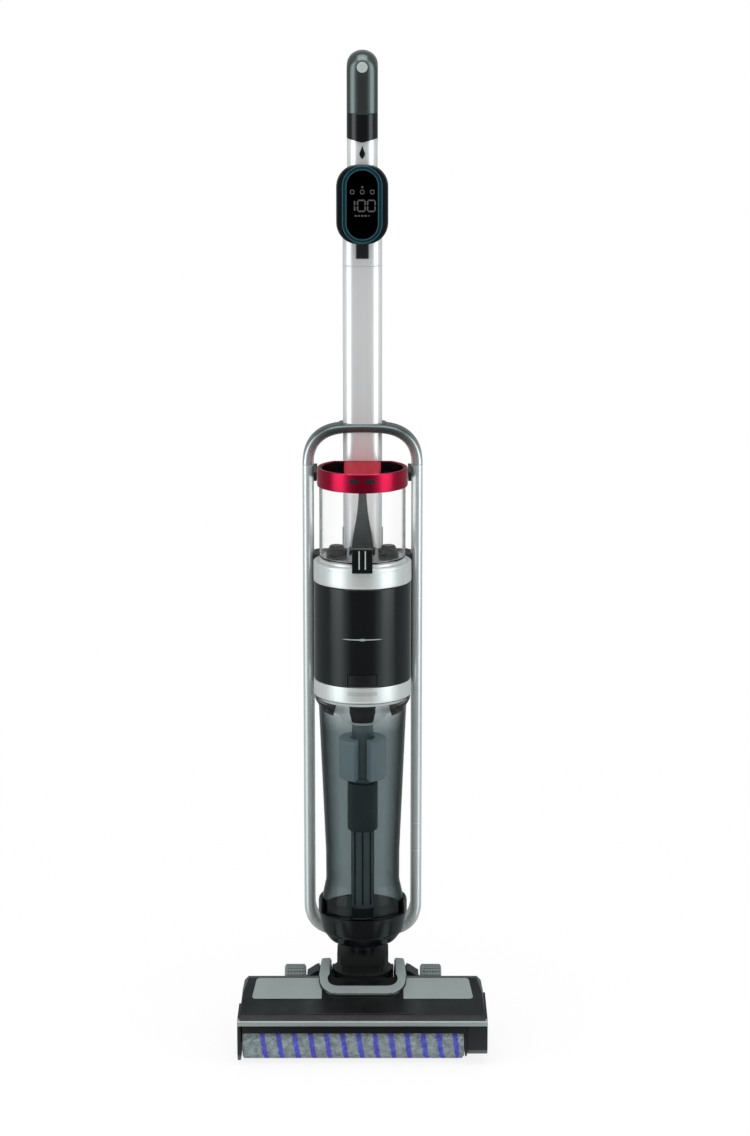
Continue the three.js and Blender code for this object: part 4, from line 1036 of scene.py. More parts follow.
def digit(figure, x, z, wide, tall, y):
    """One seven-segment figure."""
    bars = []
    for part in LIT[figure]:
        across, up, level = SEGMENTS[part]
        cx = x + across * wide
        cz = z + up * tall / 2
        half_x, half_z = (wide / 2 - 0.6, 0.75) if level else (0.75, tall / 4 - 0.6)
        bars.append(bar(cx - half_x, cx + half_x, cz - half_z, cz + half_z, y, 0.35))
    return bars


def display_marks():
    """A charge figure with a row of small signs over it and a short gauge under it."""
    y = glass_low.y
    shapes = []
    for figure, x in (("1", -12.5), ("0", -1.0), ("0", 10.0)):
        shapes += digit(figure, x, 944.0, 8.2, 12.0, y)
    for x in (-11.0, 0.0, 11.0):
        outer = rectangle(x - 2.4, x + 2.4, 956.6, 961.6, 1.5, 5)
        inner = rectangle(x - 1.5, x + 1.5, 957.5, 960.7, 0.9, 5)
        shapes.append(hoop(outer, inner, y - 0.12, y + 0.3, "front"))
    for n, x in enumerate((-7.2, -3.6, 0.0, 3.6, 7.2)):
        tall = 0.9 if n < 4 else 0.5
        shapes.append(bar(x - 1.2, x + 1.2, 933.0 - tall, 933.0 + tall, y, 0.4))
    shapes.append(
        turned([(0, -0.12), (1.2, -0.12), (1.2, 0.3), (0, 0.3)], "back", (0, y, 964.4), 16)
    )
    return joined(*shapes)


piece("display_signs", display_marks(), DISPLAY_MARKS, "handle", ())


# ---- Pole and frame ----


def pole_tube():
    low, high = corners("pole")
    skin = slab(pole_outline(22.0), 551.9, high.z, "plan", 0.5, 3)
    foot = slab(rectangle(-15, 15, 57, 67.5, 2, 4), low.z, 556.0, "plan", 0.5)
    return joined(skin, foot)


piece("pole_tube", pole_tube(), POLE_ALUMINIUM, "upright", ["pole"], 30)

# A thin dark sheet on the pole's front, shaped like the flared dark reflection the polished pole
# shows below the tank: painted reflection, not a real part.
pole_painted_reflection = slab(
    rounded(
        [
            (-12.5, 556.5), (12.5, 556.5), (10.5, 572), (5.6, 598),
            (3.4, 634), (-3.4, 634), (-5.6, 598), (-10.5, 572),
        ],
        [1, 1, 6, 12, 1.5, 1.5, 12, 6],
        6,
    ),
    40.4,
    41.3,
    "front",
    0.3,
)
piece("pole_painted_reflection", pole_painted_reflection, PAINTED_REFLECTION_GREY, "upright", ())

RAIL_OUT = 67.5
RAIL_IN = 55.0
RAIL_FRONT = 38.0
RAIL_BACK = 66.0


def rail_section(half_wide):
    """An oval section, full round at the front and softer behind."""
    w = half_wide
    return rounded([(-w, -14), (w, -14), (w, 14), (-w, 14)], [w * 0.94, w * 0.94, 4.0, 4.0], 7)


def bezier(p0, p1, p2, p3, t):
    s = 1 - t
    return tuple(
        s**3 * a + 3 * s * s * t * b + 3 * s * t * t * c + t**3 * d
        for a, b, c, d in zip(p0, p1, p2, p3)
    )


def frame_station(outer, inner, section_of):
    """A section between a point on the frame's outside line and one on its inside line."""
    outer = Vector((outer[0], 0, outer[1]))
    inner = Vector((inner[0], 0, inner[1]))
    across = (outer - inner).normalized()
    centre = (outer + inner) / 2
    centre.y = (RAIL_FRONT + RAIL_BACK) / 2
    depth = Vector((0, 1, 0))
    normal = across.cross(depth)
    return section_of((outer - inner).length / 2), place_on(across, depth, normal, centre)


def rail(side):
    stations = []
    for z in (652.0, 651.4, 500.0, 300.0, 150.0):
        shave = 0.4 if z == 652.0 else 0.0
        stations.append(((RAIL_OUT - shave, z), (RAIL_IN + shave, z)))
    for n in range(0, 21):
        t = n / 20
        outer = bezier((RAIL_OUT, 138), (RAIL_OUT, 112), (52, 97), (20, 97), t)
        inner = bezier((RAIL_IN, 138), (RAIL_IN, 120), (44, 108), (20, 108), t)
        stations.append((outer, inner))
    stations.append(((0.2, 97), (0.2, 108)))
    stations = [((side * o[0], o[1]), (side * i[0], i[1])) for o, i in stations]
    return lofted([frame_station(o, i, rail_section) for o, i in stations])


for side, label in ((-1, "left"), (1, "right")):
    piece(
        f"rail_{label}",
        rail(side),
        RAIL_SILVER,
        "upright",
        [f"frame_rail_{label}"],
        40,
    )


def arch():
    stations = [
        ((RAIL_OUT - 0.4, 652.3), (RAIL_IN + 0.4, 652.3)), ((RAIL_OUT, 653.0), (RAIL_IN, 653.0))
    ]
    for n in range(1, 25):
        t = n / 24
        outer = bezier((RAIL_OUT, 653), (RAIL_OUT, 680), (50, 697.4), (20, 697.9), t)
        inner = bezier((RAIL_IN, 653), (RAIL_IN, 675), (42, 687.2), (16, 687.8), t)
        stations.append((outer, inner))
    stations.append(((8, 698.2), (6, 688.3)))
    stations.append(((0, 698.25), (0, 688.35)))
    mirrored = [((-o[0], o[1]), (-i[0], i[1])) for o, i in reversed(stations[:-1])]
    bar_shape = lofted([frame_station(o, i, rail_section) for o, i in stations + mirrored])
    low, high = corners("frame_arch")
    boss = slab(rectangle(-27, 27, 40.0, high.y, 12, 10), 688.6, high.z, "plan", 1.2, 4)
    return joined(bar_shape, boss)


piece("arch", arch(), GUNMETAL, "upright", ["frame_arch"], 40)

for label in ("left", "right"):
    low, high = corners(f"lid_bracket_{label}")
    outline = rectangle(low.y, high.y, low.z, high.z, 4.0, 6)
    piece(
        f"bracket_{label}",
        slab(outline, low.x, high.x, "side", 0.7),
        SATIN_BLACK,
        "upright",
        [f"lid_bracket_{label}"],
    )


# ---- Motor section ----

BODY_R = 54.4
BODY_BORE = 51.9
RING_R = BODY_R + 0.2
RECESS_TOP = 433.2
housing_low, housing_high = corners("motor_housing")
button_low, button_high = corners("tank_release_button")


def motor_shell():
    """The black drum, with a recess in its lower front edge for the release button."""
    top = housing_high.z
    low = housing_low.z
    shell = turned(
        [
            (BODY_BORE, low),
            (BODY_R - 0.5, low),
            (BODY_R, low + 0.5),
            (BODY_R, RECESS_TOP),
            (BODY_R, 460.0),
            (BODY_R, 500.0),
            (BODY_R, top - 0.9),
            (BODY_R - 0.9, top),
            (BODY_BORE, top),
        ]
    )
    window = []
    for face in shell.faces:
        middle = face.calc_center_median()
        in_front = middle.y < 0 and abs(middle.x) < 17.0 and middle.xy.length > 54.0
        if in_front and low + 0.5 < middle.z < RECESS_TOP:
            window.append(face)
    bmesh.ops.inset_region(shell, faces=window, thickness=0.5, depth=-0.4)
    moved = pulled_verts(shell, window)
    bmesh.ops.delete(shell, geom=window, context="FACES")
    for vert in moved:
        vert.co.xy *= (BODY_R - 6.5) / vert.co.xy.length
    bmesh.ops.recalc_face_normals(shell, faces=shell.faces)
    return shell


piece(
    "motor_drum", motor_shell(), GLOSS_BLACK, "upright", ["motor_housing"]
)


def release_button():
    low, high = button_low, button_high
    span = math.degrees(math.asin(16.0 / 53.0))
    profile = rounded(
        [(48.6, low.z + 0.6), (53.2, low.z + 0.6), (53.2, high.z - 0.4), (48.6, high.z - 0.4)],
        0.7, 3
    )
    cap = turned(profile, steps=20, sweep=2 * span, start=270 - span)
    ridges = [
        turned(
            [(52.9, z), (53.6, z), (53.6, z + 0.8), (52.9, z + 0.8)], steps=12, sweep=18, start=261
        )
        for z in (low.z + 4.5, low.z + 6.8, low.z + 9.1)
    ]
    return joined(cap, *ridges)


piece(
    "release_button",
    release_button(),
    DEEP_BLACK,
    "tank_release",
    ["tank_release_button"],
)


def ring_profile(low, high, beads):
    """A polished ring's outer line: eased rims and a shallow turned groove at each bead."""
    points = [(RING_R - 0.8, low), (RING_R - 0.2, low + 0.25), (RING_R, low + 0.9)]
    for z in beads:
        groove = RING_R - 0.35
        points += [(RING_R, z - 0.5), (groove, z - 0.2), (groove, z + 0.2), (RING_R, z + 0.5)]
    points += [(RING_R, high - 0.9), (RING_R - 0.25, high - 0.25), (RING_R - 1.0, high)]
    return points


low_ring_low, low_ring_high = corners("lower_ring")
up_ring_low, up_ring_high = corners("upper_ring")
piece(
    "band_lower",
    turned(
        [(19, low_ring_low.z)]
        + ring_profile(low_ring_low.z, low_ring_high.z, (low_ring_low.z + 2.2,))
        + [(BODY_BORE, low_ring_high.z), (BODY_BORE, 403.5), (19, 403.5)]
    ),
    RING_SILVER,
    "upright",
    ["lower_ring"],
)
piece(
    "band_upper",
    turned(
        [(0, 548.5), (BODY_BORE, 548.5), (BODY_BORE, up_ring_low.z)]
        + ring_profile(up_ring_low.z, up_ring_high.z, (up_ring_low.z + 2.2, up_ring_high.z - 3.4))
        + [
            (51.0, up_ring_high.z), (50.4, up_ring_high.z - 0.9), (49.2, up_ring_high.z - 0.9),
            (48.6, up_ring_high.z), (0, up_ring_high.z)
        ]
    ),
    RING_SILVER,
    "upright",
    ["upper_ring"],
)


def drum_bar():
    """A slim silver bar set in the drum's front, a little thicker in the middle."""
    plate = slab(
        rounded(
            [(-23, 0), (-18, -0.5), (-4, -0.7), (0, -1.5), (4, -0.7), (18, -0.5), (23, 0),
             (18, 0.5), (4, 0.7), (0, 1.5), (-4, 0.7), (-18, 0.5)],
            0.3,
            2,
        ),
        0.0,
        0.6,
        "front",
    )
    return wrap_front(moved_by(plate, (0, 0, 472.7)), BODY_R, 0.15)


piece("drum_inlay", drum_bar(), INLAY_SILVER, "upright", ())


# The slot in the lower ring, drawn as a thin plate standing just proud, coloured darker as painted
# shade of its recess.
def ring_slot():
    slot = slab(rectangle(-17, 17, -2.2, 2.2, 1.6, 5), 0.0, 0.5, "front")
    return wrap_front(moved_by(slot, (0, 0, 410.8)), RING_R, 0.12)


piece("pressed_slot_painted_shade", ring_slot(), RING_SLOT_PAINTED_SHADE, "upright", ())

piece(
    "spine_housing",
    refined_mesh("back_housing", 0.9),
    SATIN_BLACK,
    "upright",
    ["back_housing"],
    30,
)


# ---- Clean water tank ----

CLEAN_R = 48.0
FLAT_BACK = 38.5
clean_low, clean_high = corners("clean_tank")


def flat_backed(radius, back=FLAT_BACK, steps=92):
    """The outline of a disc cut flat at the back, clear of the pole."""
    meet = math.degrees(math.acos(back / radius))
    bm = bmesh.new()
    start = bm.verts.new((radius, 0, 0))
    bmesh.ops.rotate(
        bm, verts=[start], cent=(0, 0, 0), matrix=Matrix.Rotation(math.radians(90 + meet), 3, "Z")
    )
    bmesh.ops.spin(
        bm,
        geom=[start],
        cent=(0, 0, 0),
        axis=(0, 0, 1),
        angle=math.radians(360 - 2 * meet),
        steps=steps,
    )
    points = sorted(
        ((v.co.x, v.co.y) for v in bm.verts),
        key=lambda p: (math.degrees(math.atan2(p[1], p[0])) - 90.0) % 360.0,
    )
    bm.free()
    return points


def open_tank(radius, low, high, wall):
    """A tank with a flat back: outer wall, rim, inner wall and floor in one closed skin."""
    outer = flat_backed(radius)
    inner = flat_backed(radius - wall, FLAT_BACK - wall)
    rows = [
        (scaled(outer, 0.985), low),
        (outer, low + 0.8),
        (outer, high - 0.4),
        (scaled(outer, 0.995), high),
        (scaled(inner, 1.004), high),
        (inner, high - 0.4),
        (inner, low + wall + 0.8),
        (scaled(inner, 0.985), low + wall),
    ]
    return stacked(rows)


def latch_lugs():
    outline = rectangle(-55.0, -46.2, 567.2, 576.8, 4.4, 8)
    ends = ((11.8, 14.1), (-14.1, -11.8))
    return joined(*[slab(outline, x0, x1, "side", 0.4, 2) for x0, x1 in ends])


piece(
    "clean_tank_shell",
    open_tank(CLEAN_R, clean_low.z, clean_high.z, 1.6),
    CLEAR_TANK,
    "clean_water_tank",
    ["clean_tank"],
)
piece("latch_lugs", latch_lugs(), SATIN_BLACK, "clean_water_tank", ())


def tank_foot():
    low, high = corners("tank_base")
    plan = flat_backed(CLEAN_R - 0.3, FLAT_BACK - 0.3)
    top = high.z
    sizes = ((1.0, low.z), (1.0, top - 0.7), (0.985, top - 0.1), (0.93, top), (0.9, top - 0.8))
    return stacked([(scaled(plan, share), z) for share, z in sizes])


def tank_ports():
    """Valve cap and filler boss standing on the tank's floor, left and right."""
    return joined(
        *[
            turned(
                [
                    (0, 558.0), (11.5, 558.0), (11.5, 562.6), (10.6, 563.6), (8.6, 563.8),
                    (8.0, 566.8), (6.8, 567.8), (2.0, 568.0), (0, 568.0),
                ],
                "up",
                (x, 4.0, 0),
                48,
            )
            for x in (-29.0, 29.0)
        ]
    )


piece(
    "tank_foot", tank_foot(), RING_SILVER, "clean_water_tank", ["tank_base"]
)
piece("tank_ports", tank_ports(), DEEP_BLACK, "clean_water_tank", ())


def latch_body():
    low, high = corners("tank_latch")
    outline = rounded(
        [
            (-48.8, 575.2), (-54.6, 578.2), (-58.0, 574.8), (-58.9, 551.4),
            (-57.7, 548.2), (-55.5, 548.2), (-55.5, 556.6), (-49.8, 558.6),
        ],
        [0.8, 2.2, 2.2, 1.4, 0.9, 0.5, 1.0, 1.0],
        5,
    )
    body = slab(outline, -11.3, 11.3, "side", 1.1, 4)
    pin = turned(
        [(0, low.x), (1.9, low.x), (1.9, high.x), (0, high.x)], "across", (0, -51.3, 572.0), 20
    )
    return joined(body, pin)


def latch_ribs():
    """Two bright finger ribs down the latch's face."""
    ribs = []
    for x in (-3.4, 3.4):
        outline = rounded(
            [(-58.2, 573.6), (-59.0, 553.0), (-57.6, 552.6), (-56.6, 573.6)], 0.3, 3
        )
        ribs.append(slab(outline, x - 0.7, x + 0.7, "side", 0.25, 2))
    return joined(*ribs)


piece("latch_body", latch_body(), GLOSS_BLACK, "latch", ["tank_latch"])
piece("latch_ribs", latch_ribs(), BUTTON_GREY, "latch", ())

LID_R = 50.5
lid_low, lid_high = corners("tank_lid")


def lid_ring():
    """The red ring: a crowned outer wall, a rolled rim and a well inside."""
    plan = flat_backed(LID_R)
    well = flat_backed(LID_R - 3.4, FLAT_BACK - 3.4)
    rows = [
        (plan, 0.965, lid_low.z),
        (plan, 0.993, lid_low.z + 0.6),
        (plan, 1.0, lid_low.z + 2.0),
        (plan, 1.0, lid_high.z - 2.2),
        (plan, 0.994, lid_high.z - 0.7),
        (plan, 0.984, lid_high.z),
        (well, 1.008, lid_high.z),
        (well, 1.0, lid_high.z - 0.8),
        (well, 1.0, 642.9),
        (well, 0.98, 642.7),
    ]
    return stacked([(scaled(outline, share), z) for outline, share, z in rows])


def lid_bridge():
    """The raised red tongue from the front rim back to the pole."""
    outline = rounded(
        [
            (-19.0, -46.6), (19.0, -46.6), (20.6, -20.0), (20.6, 37.6), (-20.6, 37.6),
            (-20.6, -20.0)
        ],
        [3.0, 3.0, 20.0, 2.0, 2.0, 20.0],
        6,
    )
    return slab(outline, 645.5, lid_high.z - 0.3, "plan", 1.2, 4)


def lid_ovals():
    shapes = []
    for x in (-9.2, 9.2):
        oval = slab(rectangle(x - 5.8, x + 5.8, -2.2, 2.2, 2.1, 8), 0.0, 0.5, "front", 0.15, 2)
        shapes.append(moved_by(oval, (0, 0, 649.6)))
    return wrap_front(joined(*shapes), LID_R, 0.12)


def well_liner():
    """The dark liner of the lid's wells, with raised arcs on its floor."""
    floor_z = 646.0
    outer = flat_backed(LID_R - 3.8, FLAT_BACK - 3.8)
    inner = flat_backed(LID_R - 5.0, FLAT_BACK - 5.0)
    rim = lid_high.z - 0.9
    liner = stacked([(outer, 643.2), (outer, rim), (inner, rim), (inner, floor_z)])
    arcs = [
        turned(
            [
                (r, floor_z - 0.2), (r + 1.4, floor_z - 0.2), (r + 1.4, floor_z + 1),
                (r, floor_z + 1)
            ],
            steps=36,
            sweep=100,
            start=start,
        )
        for r in (28, 34, 40)
        for start in (-60, 140)
    ]
    return joined(liner, *arcs)


piece("lid_ring", lid_ring(), LID_RED, "lid", ["tank_lid"], 40)
piece("lid_bridge", lid_bridge(), BRIDGE_RED, "lid", (), 40)
piece("lid_ovals", lid_ovals(), DEEP_BLACK, "lid", ())
piece("lid_well", well_liner(), GLOSS_BLACK, "lid", ["lid_plate"])


# ---- Dirty water tank ----


def smoothed(points, steps=6):
    """A profile line with its inner corners eased into short curves."""
    out = [points[0]]
    for before, here, after in zip(points, points[1:], points[2:]):
        a = Vector(before)
        b = Vector(here)
        c = Vector(after)
        reach = min((a - b).length, (c - b).length, 5.0) * 0.45
        start = b + (a - b).normalized() * reach
        end = b + (c - b).normalized() * reach
        for n in range(steps + 1):
            t = n / steps
            spot = start * (1 - t) ** 2 + b * 2 * t * (1 - t) + end * t * t
            out.append((spot.x, spot.y))
    out.append(points[-1])
    return out


def smoked_shell():
    outer = smoothed(
        [
            (13.3, 145.4), (46.3, 145.4), (46.3, 159), (41.6, 181), (41.8, 215), (49.3, 386),
            (53.8, 394), (53.8, 399.0)
        ]
    )
    inner = smoothed(
        [
            (51.6, 399.0), (51.6, 395), (47.1, 387.6), (39.7, 215), (39.5, 182), (44.2, 160),
            (44.2, 147.6), (13.3, 147.6)
        ]
    )
    return turned(outer + inner)


piece(
    "smoked_tank_shell",
    smoked_shell(),
    SMOKED_TANK,
    "dirty_water_tank",
    ["dirty_tank"],
    40,
)


def ribbed_pipe():
    """The riser: a tube with long ribs, its stop collar and a flared mouth."""
    low, high = corners("suction_pipe")
    tube = turned(
        [(10.5, low.z), (12.2, low.z), (12.2, 296), (16.8, 298), (16.8, 300.9), (12.2, 300.9),
         (12.2, high.z - 3), (13, high.z), (10.5, high.z)],
        steps=64,
    )
    ribs = []
    for n in range(8):
        rib = slab(rectangle(-0.9, 0.9, 152.0, 293.0, 0.6, 3), -13.0, -12.0, "front", 0.25, 2)
        for face in rib.faces:
            face.material_index = 1
        ribs.append(rotated(rib, math.radians(45 * n), "Z"))
    return joined(tube, *ribs)


guide_sleeve = turned(
    [(13.4, 240.0), (16.4, 240.0), (17.2, 241.0), (17.2, 295.0), (16.4, 295.8), (13.4, 295.8)],
    steps=64
)
piece("guide_sleeve", guide_sleeve, GUIDE_SMOKE, "dirty_water_tank", ())
piece(
    "riser",
    ribbed_pipe(),
    RISER_SMOKE,
    "dirty_water_tank",
    ["suction_pipe"],
    extra=(DEEP_BLACK,),
)

float_low, float_high = corners("float")
float_profile = rounded(
    [(13.6, float_low.z), (26.9, float_low.z), (26.9, float_high.z), (13.6, float_high.z)],
    [0.6, 1.8, 1.8, 0.6],
    4,
)
piece(
    "float_block",
    turned(float_profile, steps=72, sweep=320, start=290),
    FLOAT_BLUE,
    "float_ring",
    ["float"],
)


def funnel():
    low, high = corners("separator")
    cone = turned(
        [
            (17.2, low.z), (25, 371), (33.4, 394.6), (50.6, 395.4), (50.9, high.z), (32, high.z),
            (23.5, 373.5), (17.2, 367.5)
        ]
    )
    webs = []
    for turn in (35, 145, 215, 325):
        outline = rounded([(27.5, 378.0), (33.5, 394.9), (49.0, 395.6), (47.0, 386.0)], 0.6, 3)
        web = slab(outline, -0.9, 0.9, "front", 0.3, 2)
        webs.append(rotated(web, math.radians(turn), "Z"))
    return joined(cone, *webs)


piece("funnel", funnel(), FUNNEL_WHITE, "dirty_water_tank", ["separator"])
piece(
    "funnel_mouth",
    turned(
        [(14.0, 366.2), (18.6, 366.2), (25.8, 371.5), (34.3, 395.2), (31.0, 395.2)], steps=24,
        sweep=56, start=242
    ),
    DEEP_BLACK,
    "dirty_water_tank",
    (),
)
for start, label in ((-42, "right"), (138, "left")):
    piece(
        f"funnel_ear_{label}",
        turned(
            [(38.0, 394.8), (50.4, 394.8), (50.4, 391.6), (46.4, 385.6), (43.6, 380.0)], steps=36,
            sweep=84, start=start
        ),
        DEEP_BLACK,
        "dirty_water_tank",
        (),
    )
refinish("filter", FILTER_PAPER)


# ---- Cup and neck ----


def cup_bowl():
    outer = smoothed(
        [(10.5, 78.1), (14, 78.1), (14, 106), (28, 106.4), (37.5, 110.5), (46, 122), (50.4, 144.9)]
    )
    inner = smoothed(
        [(46.9, 144.9), (42.5, 124), (35.5, 114), (14, 110), (14, 144.8), (10.5, 144.8)]
    )
    bowl = turned(outer + inner)
    ears = []
    for start in (-21, 159):
        profile = rounded(
            [(46.9, 143.5), (50.4, 143.5), (50.4, 156.4), (49.2, 159.3), (46.9, 158.0)],
            [0.0, 0.0, 1.6, 1.0, 0.8],
            4,
        )
        ears.append(turned(profile, steps=20, sweep=42, start=start))
    tongue = slab(rectangle(-18, 18, 36.5, 61.5, 3, 5), 108.6, 116.8, "plan", 0.8)
    return joined(bowl, *ears, tongue)


piece("cup_bowl", cup_bowl(), GLOSS_BLACK, "upright", ["cup_base"], 35)
piece(
    "neck_block",
    refined_mesh("yoke", 0.8),
    SATIN_BLACK,
    "neck",
    ["yoke"],
    30,
)


# ---- Floor head ----

for name, node, edge, angle, steps, finish, slot in (
    ("hood", "head_hood", 1.1, 12.0, 3, GLOSS_BLACK, "gloss_black_plastic"),
    ("chassis", "head_base", 0.35, 40.0, 1, SATIN_BLACK, "satin_black_plastic"),
    ("side_plate_left", "left_end_plate", 0.7, 28.0, 2, SATIN_BLACK, "satin_black_plastic"),
    ("drive_cap_right", "right_end_cap", 0.9, 28.0, 2, SATIN_BLACK, "satin_black_plastic"),
):
    piece(name, refined_mesh(node, edge, angle, steps), finish, "head", [node], 30)


def hood_bulge():
    """A shallow raised field in the middle of the hood's front slope."""
    slope = math.atan2(65.2 - 57.2, 32.0)
    outline = rounded([(-62, 1.0), (62, 1.0), (44, 27.0), (-44, 27.0)], [7, 7, 9, 9], 8)
    field = slab(outline, -0.6, 0.75, "plan", 0.6, 3)
    return moved_by(rotated(field, slope, "X"), (0, -112.0, 57.2))


piece("hood_field", hood_bulge(), GLOSS_BLACK, "head", (), 30)


def top_cover(side):
    """A thin metallic cover lying on the hood's slope, from the shoulder in to the saddle."""
    inner = side * 46.0
    outline = [(side * 124.5, -1.0), (inner, -1.0), (inner, 40.0), (side * 120.0, 40.0)]
    cover = slab(rounded(outline, [5.0, 1.0, 1.0, 4.0], 6), -0.5, 0.55, "plan", 0.35)
    return moved_by(rotated(cover, math.atan2(10.3, 40.0), "X"), (0, -80.0, 65.2))


for side, label in ((-1, "left"), (1, "right")):
    piece(
        f"cover_{label}",
        top_cover(side),
        HEAD_GREY,
        "head",
        [f"top_panel_{label}"],
        30,
    )

# A black strip just in front of the roller's top, under the bumper strip: painted shadow that the
# strip and hood cast on the roller.
painted_shadow_band = slab(rectangle(-134.0, 116.5, 37.6, 45.2, 0.5, 3), -117.8, -116.3, "front", 0.3)
piece("painted_shadow_band", painted_shadow_band, DEEP_BLACK, "head", ())

for side, label in ((-1, "left"), (1, "right")):
    outline = rounded([(49.8, 60.5), (64, 60.5), (64, 62.0), (53.5, 69.0), (49.8, 70.0)], 1.2, 4)
    gusset = slab([(side * a, b) for a, b in outline], 0.0, 26.0, "front", 0.8)
    piece(f"wheel_arm_{label}", gusset, SATIN_BLACK, "head", ())

strip_low, strip_high = corners("front_strip")
strip_outline = rounded(
    [
        (strip_low.y, strip_low.z + 1.0), (strip_high.y, strip_low.z),
        (strip_high.y, strip_high.z), (strip_low.y, strip_high.z - 1.0)
    ],
    [1.6, 0.2, 0.2, 1.6],
    5,
)
piece(
    "bumper_strip",
    slab(strip_outline, strip_low.x, strip_high.x, "side", 0.8, 3),
    HEAD_GREY,
    "head",
    ["front_strip"],
    30,
)


def curve_at(points, at):
    """The height of a polyline at a given place along it."""
    for (a0, b0), (a1, b1) in zip(points, points[1:]):
        if a0 <= at <= a1:
            return b0 + (b1 - b0) * (at - a0) / (a1 - a0)
    return points[0][1] if at < points[0][0] else points[-1][1]


def quadratic(p0, p1, p2, t):
    return tuple((1 - t) ** 2 * a + 2 * t * (1 - t) * b + t * t * c for a, b, c in zip(p0, p1, p2))


def saddle():
    """The U-shaped saddle round the neck: a broad light top between dark walls."""
    crown = [(-78, 68.7), (-74, 71.2), (-40, 79), (0, 81), (16, 80), (22, 77.5), (24, 75.5)]
    seat = [(-80, 65.6), (-40, 75.9), (-31, 74.9), (-26, 67), (24, 66.2)]
    stations = []
    for n in range(9):
        y = 23.8 - (23.8 + 34.0) * n / 8
        stations.append(((-47.2 - 2.6 * n / 8, y), (-36.0, y)))
    for n in range(13):
        t = n / 12
        outer = quadratic((-50, -40), (-50, -77), (-26, -77), t)
        inner = quadratic((-36, -35), (-36, -43), (-26, -43), t)
        stations.append((outer, inner))
    for n in range(1, 5):
        stations.append(((-26 + 6.5 * n, -77), (-26 + 6.5 * n, -43)))
    stations += [((-o[0], o[1]), (-i[0], i[1])) for o, i in reversed(stations[:-1])]
    sections = []
    for outer, inner in stations:
        start = Vector((*outer, 0))
        across = Vector((*inner, 0)) - start
        wide = across.length
        across.normalize()
        upward = Vector((0, 0, 1))
        place = place_on(across, upward, across.cross(upward), start)
        band = min(wide - 1.4, 15.5)
        band_top = curve_at(crown, start.y + across.y * band)
        line = [
            (0, curve_at(seat, outer[1])),
            (0, curve_at(crown, outer[1]) - 0.8),
            (band, band_top - 0.2),
            (band + 0.7, band_top - 2.4),
            (wide, curve_at(crown, inner[1]) - 3.0),
            (wide, curve_at(seat, inner[1])),
        ]
        sections.append((rounded(line, [0, 2.2, 1.0, 0, 0.3, 0], 4), place))
    shape = lofted(sections)
    for face in shape.faces:
        middle = face.calc_center_median()
        on_band = middle.z > curve_at(crown, middle.y) - 1.3 and face.normal.z > 0.8
        face.material_index = 0 if on_band else 1
    return shape


piece(
    "saddle",
    saddle(),
    HEAD_GREY,
    "head",
    ["saddle_bezel"],
    50,
    (GLOSS_BLACK,),
)


def axle_of(low, high):
    """The middle of a round piece that turns about X."""
    return (0, (low.y + high.y) / 2, (low.z + high.z) / 2)


def pile():
    """Short tufts in rings round a cloth sleeve."""
    low, high = corners("roller_pile")
    centre = axle_of(low, high)
    sleeve = turned(
        [
            (17, low.x + 0.4), (21.2, low.x + 0.4), (22.0, low.x + 1.4), (22.0, high.x - 1.4),
            (21.2, high.x - 0.4), (17, high.x - 0.4)
        ],
        "across",
        centre,
        72,
    )
    ring_of_tufts = bmesh.new()
    count = 76
    for n in range(count):
        lean = 0.16 * math.sin(n * 2.4) + 0.1
        reach = 23.75 - 0.5 * ((n * 7) % 5) / 4
        turn = Matrix.Rotation(math.tau * n / count, 4, "X")
        tilt = Matrix.Rotation(lean, 4, "X") @ Matrix.Rotation(0.25 * math.sin(n * 1.7), 4, "Y")
        lift = Matrix.Translation((0.35 * math.sin(n * 3.1), 0, 21.5))
        bmesh.ops.create_cone(
            ring_of_tufts,
            cap_ends=False,
            segments=4,
            radius1=1.25,
            radius2=0.35,
            depth=reach - 21.5,
            matrix=turn @ lift @ tilt @ Matrix.Translation((0, 0, (reach - 21.5) / 2)),
        )
    ring_mesh = bpy.data.meshes.new("ring_of_tufts")
    ring_of_tufts.to_mesh(ring_mesh)
    ring_of_tufts.free()
    whole = joined(sleeve)
    rows = int((high.x - low.x - 3) / 1.7)
    for row in range(rows):
        copy = ring_mesh.copy()
        copy.transform(
            Matrix.Translation((low.x + 2.2 + row * 1.7, centre[1], centre[2]))
            @ Matrix.Rotation(
                math.tau / count * (0.5 * (row % 2) + 3 * math.sin(row * 1.3)), 4, "X"
            )
        )
        whole.from_mesh(copy)
        bpy.data.meshes.remove(copy)
    bpy.data.meshes.remove(ring_mesh)
    return whole


piece("roller_cloth_pile", pile(), ROLLER_CLOTH, "roller", ["roller_pile"], 60)


def tyre(label):
    low, high = corners(f"wheel_tyre_{label}")
    centre = axle_of(low, high)
    outer = 26.0
    band = [(20.8, low.x + 0.5), (outer - 1.6, low.x + 0.2), (outer - 0.3, low.x + 1.2)]
    x = low.x + 2.4
    while x < high.x - 3.6:
        band += [(outer, x), (outer, x + 1.7), (outer - 0.8, x + 2.1), (outer - 0.8, x + 2.7)]
        x += 3.3
    band += [(outer - 0.3, high.x - 1.2), (outer - 1.6, high.x - 0.2), (20.8, high.x - 0.5)]
    shapes = [turned(band, "across", centre, 72)]
    blocks = 30
    for n in range(blocks):
        block = slab(
            rectangle(low.x + 1.6, high.x - 1.6, -1.3, 1.3, 0.5, 2), 25.4, 26.75, "plan", 0.3, 1
        )
        shapes.append(moved_by(rotated(block, math.tau * n / blocks, "X"), centre))
    return joined(*shapes)


